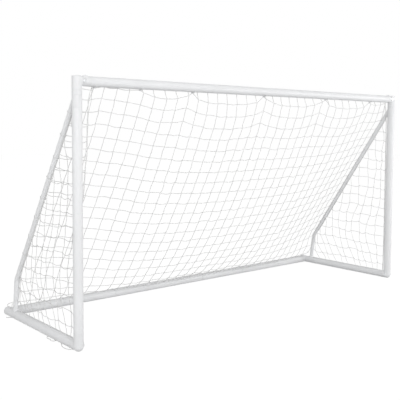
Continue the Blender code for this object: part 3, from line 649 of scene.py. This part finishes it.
def smoothed(points, rounds):
    """Rounds a path by repeated corner cutting, with its ends kept."""
    path = [Vector(p) for p in points]
    for _ in range(rounds):
        cut = [path[0]]
        for a, b in zip(path, path[1:]):
            cut += [a.lerp(b, 0.25), a.lerp(b, 0.75)]
        path = cut + [path[-1]]
    return path


def leaf_spring(node, at, along, across, heights, runs, section):
    """A bent steel strip: one arm under a button, the other on the far wall."""
    (top, floor), (contact, reach), (width, thick) = heights, runs, section
    upper, lower = top - thick / 2, thick / 2 - floor
    bend, middle = (upper - lower) / 8, (upper + lower) / 2
    route = ((-contact, upper), (contact, upper), (reach - bend, middle + bend), (reach, middle),
             (reach - bend, middle - bend), (0.0, lower), (-contact, lower))
    path = smoothed([at + along * run + across * rise for run, rise in route], 3)
    side = along.cross(across).normalized()
    cut, w, t = thick * 0.25, width / 2, thick / 2
    outline = ((w, -t + cut), (w, t - cut), (w - cut, t), (-w + cut, t), (-w, t - cut), (-w, -t + cut),
               (-w + cut, -t), (w - cut, -t))
    rings = []
    for point, tangent in zip(path, tangents(path)):
        rings.append([point + side * a + tangent.cross(side) * b for a, b in outline])
    skin = Skin()
    skin.loft(path, rings)
    return show(skin, node, STEEL_FINISH)


def sprung_button(button, kind, at, axis, along):
    """A button on its own body, and the leaf spring under it."""
    profile, sides, finish, heights, runs, section, travel = kind
    turned(button, finish, sides, (profile, at, axis), body=f"{button}_body")
    spring = leaf_spring(button.replace("button", "spring"), at, along, axis, heights, runs, section)
    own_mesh(spring)


def screw(node, seat, axis):
    skin = Skin()
    skin.turn(SCREW_CUP, seat, axis, 36)
    skin.turn(SCREW_HEAD, seat, axis, 24)
    show(skin, node, STEEL_FINISH)


def buttons_and_screws():
    for label, side in SIDES:
        inward = Vector((-side, 0, 0))
        centre = corner_point(side, CROSSBAR_Z)
        sprung_button(f"lock_button_{label}", LOCK, centre + inward * BUTTON_STATION, UP, inward)
        screw(f"crossbar_screw_{label}", centre + inward * SCREW_STATION - BACK * BOSS_TOP, -BACK)
        seat = corner_point(side, GROUND_Z + ELBOW_SCREW_RISE) + inward * BOSS_TOP
        screw(f"foot_screw_{label}", seat, inward)
        joint = on_stay(side, STAY_JOINT)
        for position, towards in (("upper", STAY_DOWN), ("lower", -STAY_DOWN)):
            pin_at = joint - towards * SNAP_SPREAD
            sprung_button(f"snap_button_{position}_{label}", SNAP, pin_at, inward, towards)


def polar(radius, angle, centre=(0.0, 0.0)):
    return (centre[0] + radius * math.cos(angle), centre[1] + radius * math.sin(angle))


def arc(radius, start, end, steps, centre=(0.0, 0.0)):
    return [polar(radius, start + (end - start) * i / steps, centre) for i in range(steps + 1)]


def clip_outline():
    """The CAD clip's outline with finer steps: a band round the tube and a hook for the border cord."""
    start, end = CLIP_ENDS
    hook_outer = HOOK_BORE + HOOK_THICKNESS
    centre = polar(HOOK_REACH, CLIP_HOOK_AT)
    spread = math.acos((CLIP_R**2 + HOOK_REACH**2 - hook_outer**2) / (2 * CLIP_R * HOOK_REACH))
    root = polar(CLIP_R, CLIP_HOOK_AT + spread)
    root_angle = math.atan2(root[1] - centre[1], root[0] - centre[0])
    if root_angle < CLIP_HOOK_AT:
        root_angle += 2 * math.pi
    tip_angle = CLIP_HOOK_AT - math.pi + HOOK_OPENING
    points = arc(CLIP_BORE, start, end, 40)
    points += arc(CLIP_R, end, CLIP_HOOK_AT + spread, 12)[:-1]
    points += arc(hook_outer, root_angle, tip_angle, 20, centre)
    points += arc(HOOK_BORE, tip_angle, CLIP_HOOK_AT + math.pi * 0.92, 16, centre)
    points += arc(CLIP_R, CLIP_HOOK_AT - spread * 0.3, start, 28)
    return points


def plate(name, outline, width, edge):
    """A flat shape of an outline, width thick, with its edges rounded, as a mesh."""
    curve = adjust(bpy.data.curves.new(name, "CURVE"), dimensions="2D", fill_mode="BOTH",
                   extrude=width / 2 - edge, bevel_depth=edge, bevel_resolution=1, offset=-edge)
    spline = curve.splines.new("POLY")
    spline.points.add(len(outline) - 1)
    spline.use_cyclic_u = True
    for point, (across, up) in zip(spline.points, outline):
        point.co = (across, up, 0, 1)
    source = new_object(name, curve)
    bpy.context.view_layer.update()
    mesh = bpy.data.meshes.new_from_object(source.evaluated_get(bpy.context.evaluated_depsgraph_get()))
    bpy.data.objects.remove(source)
    return mesh


def clips():
    outline = clip_outline()
    material, slot = FITTING_FINISH
    for bar, stations, y, z, turn in (
        ("crossbar", CROSSBAR_CLIPS, FRONT_Y, CROSSBAR_Z, 0.0),
        ("rear", REAR_CLIPS, REAR_Y, GROUND_Z, REAR_CLIP_TURN),
    ):
        back = Vector((0, math.cos(turn), -math.sin(turn)))
        down = Vector((0, -math.sin(turn), -math.cos(turn)))
        axes = Matrix((back, down, back.cross(down))).transposed().to_4x4()
        for number, x in enumerate(stations, 1):
            node = f"{bar}_net_clip_{number}"
            mesh = plate(node, outline, CLIP_WIDTH, CLIP_EDGE)
            mesh.transform(Matrix.Translation((x, y, z)) @ axes)
            mesh.materials.clear()
            mesh.materials.append(material)
            outward(mesh, WELD)
            settle(mesh, 35.0)
            clip = new_object(f"look_{node}", mesh)
            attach(clip, "frame")
            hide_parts(node)


def hook_point(y, z, turn):
    angle = CLIP_HOOK_AT + turn
    return y + HOOK_REACH * math.cos(angle), z - HOOK_REACH * math.sin(angle)


TOP_HOOK = hook_point(FRONT_Y, CROSSBAR_Z, 0.0)
LOW_HOOK = hook_point(REAR_Y, GROUND_Z, REAR_CLIP_TURN)


def point_along(points, share):
    lengths = [(b - a).length for a, b in zip(points, points[1:])]
    left = share * sum(lengths)
    for a, b, length in zip(points, points[1:], lengths):
        if left <= length:
            return a.lerp(b, left / length)
        left -= length
    return points[-1].copy()


def edge_path(side):
    """The line that the net's edge follows beside a back stay, from the crossbar down to the rear bar."""
    x = side * NET_HALF
    return [
        Vector((x, TOP_HOOK[0] + 0.045, TOP_HOOK[1])),
        Vector((x, *(on_stay(side, 0.20) + STAY_BACK * 0.006).yz)),
        Vector((x, *(on_stay(side, STAY_JOINT) + STAY_BACK * 0.006).yz)),
        Vector((x, *(Vector((0, BEND_Y, BEND_Z)) + STAY_BACK * 0.004).yz)),
        Vector((x, FOOT_Y + 0.004, 0.11)),
        Vector((side * NET_FOOT_HALF, *LOW_HOOK)),
    ]


def relax(grid, fixed, across, down):
    """Lets a grid of knots hang: strings may go slack but not stretch past their length."""
    fall, damping, steps, pulls = 0.00012, 0.985, 900, 6
    old = grid.copy()
    gravity = np.array([0.0, 0.0, -fall])
    free = np.where(fixed, 0.0, 1.0)[..., None]
    links = []
    for axis, rest in ((0, across), (1, down)):
        count = grid.shape[axis] - 1
        for parity in (0, 1):
            a = (slice(None),) * axis + (slice(parity, count, 2),)
            b = (slice(None),) * axis + (slice(parity + 1, count + 1, 2),)
            links.append((a, b, rest[a][..., None], np.maximum(free[a] + free[b], 1e-9)))
    for _ in range(steps):
        velocity = (grid - old) * damping
        old = grid.copy()
        grid = grid + (velocity + gravity) * free
        for _ in range(pulls):
            for a, b, rest, total in links:
                delta = grid[b] - grid[a]
                length = np.linalg.norm(delta, axis=-1, keepdims=True)
                pull = delta * np.maximum(length - rest, 0.0) / np.maximum(length, 1e-9) / total
                grid[a] += pull * free[a]
                grid[b] -= pull * free[b]
    return grid


def knot(skin, at, size):
    """A small lumpy knot: a rounded diamond with a waist, turned by a little chance."""
    tilt = RANDOM.uniform(-0.5, 0.5, 3)
    axis = Vector((0.25 + tilt[0], 1.0, 0.3 + tilt[1])).normalized()
    shape = ((0, 1.15), (0.72, 0.72), (0.98, 0.12), (0.88, -0.3), (0.66, -0.78), (0, -1.1))
    skin.turn([(size * radius, size * height) for radius, height in shape], at, axis, 6, tilt[2])


def string(skin, a, b, length):
    """One mesh side between two knots. Spare length hangs, and the twine wanders a little."""
    a, b = Vector(a), Vector(b)
    span = (b - a).length
    spare = max(length - span, 0.0)
    sag = min(math.sqrt(3 * span * spare / 8), STRING_SAG)
    direction = (b - a).normalized()
    level = 1.0 - abs(direction.z) * 0.8
    kick = Vector(RANDOM.normal(0.0, STRING_WANDER, 3))
    path = [a]
    for i in range(1, STRING_PIECES):
        t = i / STRING_PIECES
        bow = 4 * t * (1 - t)
        point = a.lerp(b, t) + Vector((0, 0, -sag * bow * level))
        wander = Vector(RANDOM.normal(0.0, STRING_WANDER * 0.35, 3))
        path.append(point + kick * math.sin(math.pi * t) + wander)
    path.append(b)
    skin.sweep(path, TWINE / 2, STRING_SIDES)


def cord(skin, points, radius, sides=8, wander=0.0, smooth=3):
    """A thicker cord through points."""
    path = smoothed(points, smooth)
    if wander:
        inner = [point + Vector(RANDOM.normal(0, wander, 3)) for point in path[1:-1]]
        path = [path[0], *inner, path[-1]]
    skin.sweep(path, radius, sides)


def back_net_grid():
    """Knots before they hang, and which of them the clips, the stays and the border cord hold."""
    top_y, top_z = TOP_HOOK
    grid = np.zeros((NET_COLUMNS + 1, NET_ROWS + 1, 3))
    fixed = np.zeros(grid.shape[:2], bool)
    for i in range(NET_COLUMNS + 1):
        across = 2 * (i / NET_COLUMNS) - 1
        grid[i, 0] = (across * NET_HALF, BORDER_Y, BORDER_Z)
        start = np.array([across * NET_HALF, top_y, top_z - 0.03])
        end = np.array([across * NET_FOOT_HALF, *LOW_HOOK])
        hang = min(1.0, (1 - abs(across)) / 0.3)
        for j in range(1, NET_ROWS + 1):
            v = (j - 1) / (NET_ROWS - 1)
            point = start * (1 - v) + end * v
            grid[i, j] = point + np.array([0.0, -0.05, -0.10]) * 4 * v * (1 - v) * hang
    grid[1:-1, 2:-1] += RANDOM.normal(0.0, 0.004, grid[1:-1, 2:-1].shape)
    for column, side in ((0, -1), (-1, 1)):
        edge = edge_path(side)
        for j in range(1, NET_ROWS + 1):
            grid[column, j] = np.array(point_along(edge, (j - 1) / (NET_ROWS - 1)))
    fixed[:, 0] = fixed[:, -1] = True
    fixed[0, :] = fixed[-1, :] = True
    for x in CROSSBAR_CLIPS:
        i = int(round((x / NET_HALF + 1) / 2 * NET_COLUMNS))
        grid[i, 1] = (grid[i, 0, 0], top_y, top_z - CLIP_DROP)
        fixed[i, 1] = True
    # Between the two clips by the left corner the row of knots is tucked up behind the tube.
    for i in range(2, 5):
        grid[i, 1] = (grid[i, 0, 0], top_y + 0.020, top_z + 0.014 - 0.007 * (i - 2))
        fixed[i, 1] = True
    return grid, fixed


def even_folds(grid):
    """The folds under the clips fade towards the bottom, where the net's own stiffness evens them out."""
    for j in range(4, NET_ROWS):
        for _ in range(min((j - 2) ** 2 // 2, 24)):
            inner = grid[1:-1, j, 1:]
            inner += 0.35 * ((grid[:-2, j, 1:] + grid[2:, j, 1:]) / 2 - inner)


def lace_edges(grid):
    """Both edges are laced a little higher up the stays, the right one most."""
    across = np.linspace(0, 1, NET_COLUMNS + 1)
    height = np.sin(math.pi * np.clip(np.arange(-1, NET_ROWS) / (NET_ROWS - 1), 0, 1)) ** 0.6
    edge = np.clip(1 - across / LEFT_FOLD, 0, 1)
    left = np.sin(math.pi * np.clip(np.maximum(across, LEFT_FOLD) / (2 * LEFT_FOLD), 0, 1)) + 0.9 * edge
    right = np.clip((across - RIGHT_FOLD) / (1 - RIGHT_FOLD), 0, 1) ** 1.5
    lift = LEFT_LIFT * left[:, None] * height
    grid[:, :, 2] += lift
    grid[:, :, 1] -= lift * edge[:, None] * math.tan(STAY_ANGLE)
    grid -= RIGHT_LIFT * (right[:, None] * height)[..., None] * np.array(STAY_DOWN)


def back_net():
    grid, fixed = back_net_grid()
    across = np.full((NET_COLUMNS, NET_ROWS + 1), NET_ACROSS)
    for j in range(1, 4):
        across[:, j] += (NET_ACROSS_TOP - NET_ACROSS) * (4 - j) / 3
    down = np.full((NET_COLUMNS + 1, NET_ROWS), NET_DOWN)
    grid = relax(grid, fixed, across, down)
    even_folds(grid)
    lace_edges(grid)
    skin = Skin()
    for i in range(NET_COLUMNS + 1):
        for j in range(NET_ROWS + 1):
            here = grid[i, j]
            if 0 < j < NET_ROWS:
                knot(skin, Vector(here), KNOT)
            if j < NET_ROWS and (0 < i < NET_COLUMNS or j == 0):
                string(skin, here, grid[i, j + 1], NET_DOWN + SPARE)
            if i < NET_COLUMNS and 0 < j < NET_ROWS:
                beside = grid[i + 1, j]
                hooks = [(x, *TOP_HOOK) for x in CROSSBAR_CLIPS if j == 1 and here[0] < x < beside[0]]
                if hooks:
                    string(skin, here, hooks[0], 0.0)
                    string(skin, hooks[0], beside, 0.0)
                else:
                    string(skin, here, beside, NET_ACROSS + SPARE)
    borders = Skin()
    for j in (0, NET_ROWS):
        cord(borders, grid[:, j], CORD / 2, smooth=1)
    for i in (0, NET_COLUMNS):
        cord(borders, grid[i, 1:], CORD / 2, wander=0.0008, smooth=1)
    show(skin, "net_back", TWINE_FINISH, sharp=CORD_SHARP)
    show(borders, "net_back_border", CORD_FINISH, sharp=CORD_SHARP, replaces=False)


def stay_y(z):
    """Where the stay's axis is at a height."""
    if z >= BEND_Z:
        return FRONT_Y + (STAY_TOP_Z - z) * math.tan(STAY_ANGLE)
    return BEND_Y + (BEND_Z - z) * math.tan(FOOT_TILT)


# The front cord of each side net, as (height, distance out, behind the upright's axis)
FRONT_CORDS = {
    -1: ((1.756, 1.680, 0.007), (1.692, 1.703, 0.009), (1.586, 1.708, 0.012), (1.275, 1.722, 0.016),
         (1.040, 1.742, 0.024), (0.800, 1.756, 0.036), (0.400, 1.772, 0.040), (0.074, 1.790, 0.046)),
    1: ((1.756, 1.700, 0.007), (1.620, 1.775, 0.036), (1.300, 1.786, 0.040), (0.800, 1.788, 0.040),
        (0.400, 1.790, 0.040), (0.074, 1.792, 0.046)),
}

# How far the second cord there hangs in from the first, by height
FRONT_SLACK = ((1.756, 0.0), (1.692, 0.028), (1.650, 0.022), (1.586, 0.005), (1.500, 0.008), (1.420, 0.004),
               (1.330, 0.013), (1.240, 0.004), (1.100, 0.009), (0.960, 0.004), (0.500, 0.005), (0.074, 0.004))

# What differs between the side nets: how far their strings bow back, how long they are, and how uneven
SIDE_BOW = {-1: 0.120, 1: 0.095}
SIDE_STRING = {-1: 0.097, 1: 0.102}
SIDE_UNEVEN = {-1: 0.0038, 1: 0.0050}


def at_height(table, z):
    """Reads a table of heights, from the top down, and what lies there."""
    heights, *columns = np.array(table)[::-1].T
    return [float(np.interp(z, heights, column)) for column in columns]


def front_cord(side, z):
    """A point of the front edge of the side net, a cord from the crossbar's end clip down to the foot."""
    table = FRONT_CORDS[side]
    z = min(max(z, table[-1][0]), table[0][0])
    out, behind = at_height(table, z)
    return Vector((side * out, FRONT_Y + behind, z))


def side_point(side, y, z):
    """A point of the side net: from the front cord's line across to the stay."""
    front = front_cord(side, z)
    t = min(max((y - front.y) / max(stay_y(z) - front.y, 0.02), 0.0), 1.0)
    x = front.x + (side * (SPAN - 0.004) - front.x) * t ** 0.6
    return Vector((x + side * SIDE_BULGE * math.sin(math.pi * t), y, z))


def side_knot(side, k, m):
    """Knot k back from the front cord in row m up from the side bar. The strings bow back at half height."""
    first_y, first_z = SIDE_FIRST
    row_z = first_z + SIDE_ROW * m if m else SIDE_FLOOR
    y = front_cord(side, row_z).y
    if k:
        bow = math.exp(-((row_z - 0.47) / 0.28) ** 2) - 0.55
        y = FRONT_Y + first_y + SIDE_COLUMN * k + SIDE_BOW[side] * math.sin(math.pi * min(k + 1, 8) / 9) * bow
        y += 0.008 * math.sin(2.3 * k + 1.1 * m)
        # Near the floor the strings lean to where the border cord holds them.
        y -= max(0.0, 0.33 - row_z) * (0.07 * k - 0.10)
    fall = 0.020 * max(0.0, 1 - k / 7) if side > 0 else 0.004 * math.sin(1.7 * k)
    return side_point(side, y, max(row_z - (fall if m else 0.0), SIDE_FLOOR))


def tie(skin, side, point, y, z):
    """A string from a knot to the stay."""
    end = Vector((side * (SPAN - 0.006), y, z))
    string(skin, point, end, (end - point).length + 0.002)


def side_net(label, side):
    """The triangular side panel, square meshes cut off along the stay."""
    knots = {}
    slack = SIDE_STRING[side]
    seat = STAY_R / math.cos(STAY_ANGLE)
    for m in range(SIDE_ROWS):
        for k in range(SIDE_COLUMNS):
            point = side_knot(side, k, m)
            if point.y > stay_y(point.z) - seat - 0.022:
                break
            if m and k:
                point += Vector(RANDOM.normal(0.0, SIDE_UNEVEN[side], 3))
            knots[k, m] = point
    skin = Skin()
    for (k, m), point in knots.items():
        if m:
            knot(skin, point, KNOT)
        right = knots.get((k + 1, m))
        above = knots.get((k, m + 1))
        if right is not None and m:
            string(skin, point, right, slack)
        if above is not None and k:
            string(skin, point, above, slack)
        if right is None and m:
            z = point.z + 0.012
            tie(skin, side, point, stay_y(z) - seat * 0.9, z)
        if above is None and k and m:
            top = STAY_TOP_Z - (point.y + seat * 0.9 - FRONT_Y) / math.tan(STAY_ANGLE)
            if top > point.z + 0.01:
                tie(skin, side, point, point.y, top)
    show(skin, f"net_{label}", TWINE_FINISH, sharp=CORD_SHARP)
    borders = Skin()
    # Two cords run together down the front edge, slack against each other in places.
    for second in (0, 1):
        path = []
        for z in np.linspace(FRONT_SLACK[0][0], FRONT_SLACK[-1][0], 43):
            swing = second * at_height(FRONT_SLACK, z)[0] * (1.0 if side < 0 else 0.3)
            path.append(front_cord(side, z) + Vector((-side * swing, 0.003 * second, 0)))
        cord(borders, path, TWINE / 2, wander=0.0006, smooth=2)
    # Beside the stay, and along the side bar.
    path = [on_stay(side, d) - STAY_BACK * (STAY_R + 0.003) - Vector((side * 0.004, 0, 0))
            for d in np.linspace(0.16, STAY_LENGTH - 0.09, 16)]
    cord(borders, path, CORD / 2 * 0.9, wander=0.0010, smooth=1)
    path = [Vector((side * (SPAN - 0.012), y, 2 * TUBE_R + 0.0005))
            for y in np.linspace(FRONT_Y + 0.10, FOOT_Y - 0.035, 14)]
    cord(borders, path, CORD / 2, wander=0.0006, smooth=1)
    show(borders, f"net_{label}_border", CORD_FINISH, sharp=CORD_SHARP, replaces=False)


# Spare lacing cord at the left: two small loops under the side bar, a ring on the rear corner and a knotted
# end, each as (distance out from the bar's axis, y, height)
SPARE_CORD = (
    ((0.012, -0.120, 0.003), (0.024, -0.140, 0.003), (0.038, -0.160, 0.004), (0.042, -0.180, 0.005),
     (0.034, -0.196, 0.003), (0.037, -0.216, 0.003), (0.047, -0.234, 0.004), (0.042, -0.246, 0.004),
     (0.028, -0.249, 0.003), (0.012, -0.252, 0.003)),
    ((0.012, -0.325, 0.003), (0.024, -0.345, 0.003), (0.040, -0.375, 0.004), (0.049, -0.410, 0.005),
     (0.049, -0.440, 0.004), (0.040, -0.464, 0.003), (0.025, -0.482, 0.003), (0.010, -0.490, 0.003)),
    ((0.004, 0.452, 0.128), (0.006, 0.480, 0.118), (0.010, 0.520, 0.106), (0.013, 0.550, 0.090),
     (0.013, 0.549, 0.072), (0.011, 0.520, 0.068), (0.008, 0.494, 0.070), (0.006, 0.480, 0.086),
     (0.004, 0.486, 0.102), (0.004, 0.466, 0.112)),
    ((0.006, 0.470, 0.004), (0.020, 0.474, 0.003), (0.036, 0.480, 0.003), (0.046, 0.492, 0.004)),
)


def lacing():
    """A cord wound round each stay through the net's edge, and its spare ends."""
    reach = STAY_R + CORD / 2 * 0.8 + 0.0004
    start, end = 0.150, STAY_LENGTH - 0.06
    # One quick turn round the tube, then a straight run along it to the next.
    quick, rise, steps = 0.62, 0.012, 26
    for label, side in SIDES:
        skin = Skin()
        path = []
        for turn in range(int((end - start) / LACING_PITCH)):
            for t in (i / steps for i in range(steps)):
                spin = min(t / quick, 1.0)
                run = rise * spin + (LACING_PITCH - rise) * max(t - quick, 0.0) / (1 - quick)
                angle = -math.pi / 2 + 2 * math.pi * spin
                centre = on_stay(side, start + turn * LACING_PITCH + run)
                spoke = Vector((side, 0, 0)) * math.cos(angle) + STAY_BACK * math.sin(angle)
                path.append(centre + spoke * reach)
        skin.sweep(path, TWINE / 2 * 1.1, 6)
        if side < 0:
            for loop in SPARE_CORD:
                points = [Vector((side * (SPAN + out), y, z)) for out, y, z in loop]
                cord(skin, points, TWINE / 2 * 1.2, 6)
            knot(skin, points[-1], 0.0050)
        show(skin, f"net_lacing_{label}", CORD_FINISH, sharp=CORD_SHARP, replaces=False)


def dress_hidden_nodes():
    """The couplers inside the stays are right as they are. They only get the finished steel."""
    for name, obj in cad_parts.items():
        if name.startswith("stay_coupler"):
            for slot in obj.material_slots:
                slot.material = STEEL_FINISH[0]


def seen_as_white(tree):
    """One for the rays that the camera, gloss and glass see the background by, nought for light on things."""
    rays = add(tree, "LightPath").outputs
    seen = maths(tree, "MAXIMUM", rays["Is Camera Ray"], rays["Is Glossy Ray"])
    return maths(tree, "MAXIMUM", seen, rays["Is Transmission Ray"])


def white_floor():
    """A pale floor that looks white to the camera, keeps soft shadows, and throws little light back."""
    material, tree, _ = node_graph("floor_white")
    tree.nodes.clear()
    matte = add(tree, "BsdfDiffuse", Color=(*grey(0.60), 1.0))
    bright = add(tree, "BsdfDiffuse", Color=(*grey(0.09), 1.0))
    glow = add(tree, "Emission", Color=(*grey(1.0), 1.0), Strength=0.955)
    pale = add(tree, "AddShader", bright, glow)
    add(tree, "OutputMaterial", add(tree, "MixShader", seen_as_white(tree), matte, pale))
    bpy.ops.mesh.primitive_plane_add(size=60, location=(0, 0, -0.0005))
    floor = bpy.context.object
    floor.name = "floor"
    floor.data.materials.append(material)


def studio():
    world = bpy.data.worlds.new("studio")
    bpy.context.scene.world = world
    world.use_nodes = True
    tree = world.node_tree
    tree.nodes.clear()
    height = add(tree, "SeparateXYZ", add(tree, "TexCoord").outputs["Generated"]).outputs["Z"]
    fall = add(tree, "MapRange", Value=height, To_Min=0.88, To_Max=0.34)
    soft = add(tree, "Background", Color=(*grey(1.0), 1.0), Strength=fall)
    white = add(tree, "Background", Color=(*grey(1.0), 1.0), Strength=1.0)
    add(tree, "OutputWorld", add(tree, "MixShader", seen_as_white(tree), soft, white))
    aim = Vector((0, 0, 0.9))
    for name, place, size, power in (
        ("key", (-4.6, -8.0, 3.6), 4.8, 330.0),
        ("fill", (4.4, -3.4, 1.7), 2.6, 64.0),
        ("side", (-7.0, -0.8, 2.4), 3.6, 36.0),
        ("back", (-1.0, 5.0, 4.0), 4.0, 12.0),
    ):
        lamp = new_object(name, adjust(bpy.data.lights.new(name, "AREA"), size=size, energy=power))
        lamp.location = place
        lamp.rotation_euler = (aim - Vector(place)).to_track_quat("-Z", "Y").to_euler()


def photo_camera():
    """The photograph's camera, from a fit to the six corners of the frame."""
    yaw, pitch, roll = math.radians(38.403), math.radians(3.763), math.radians(0.14)
    place = Matrix.Translation((-3.9507, -4.2159, 1.4594))
    aim = Matrix.Rotation(-yaw, 4, "Z") @ Matrix.Rotation(math.pi / 2 - pitch, 4, "X")
    data = adjust(bpy.data.cameras.new("photo_camera"), lens=58.01, sensor_width=36.0,
                  sensor_fit="HORIZONTAL", shift_x=0.0789, shift_y=-0.0620, clip_start=0.05, clip_end=100.0)
    camera = new_object("photo_camera", data)
    camera.matrix_world = place @ aim @ Matrix.Rotation(roll, 4, "Z")
    bpy.context.scene.camera = camera


photo_camera()
straight_tubes()
stays()
corners()
buttons_and_screws()
clips()
back_net()
for label, side in SIDES:
    side_net(label, side)
lacing()
dress_hidden_nodes()
white_floor()
studio()
bpy.context.scene.view_settings.view_transform = "Standard"
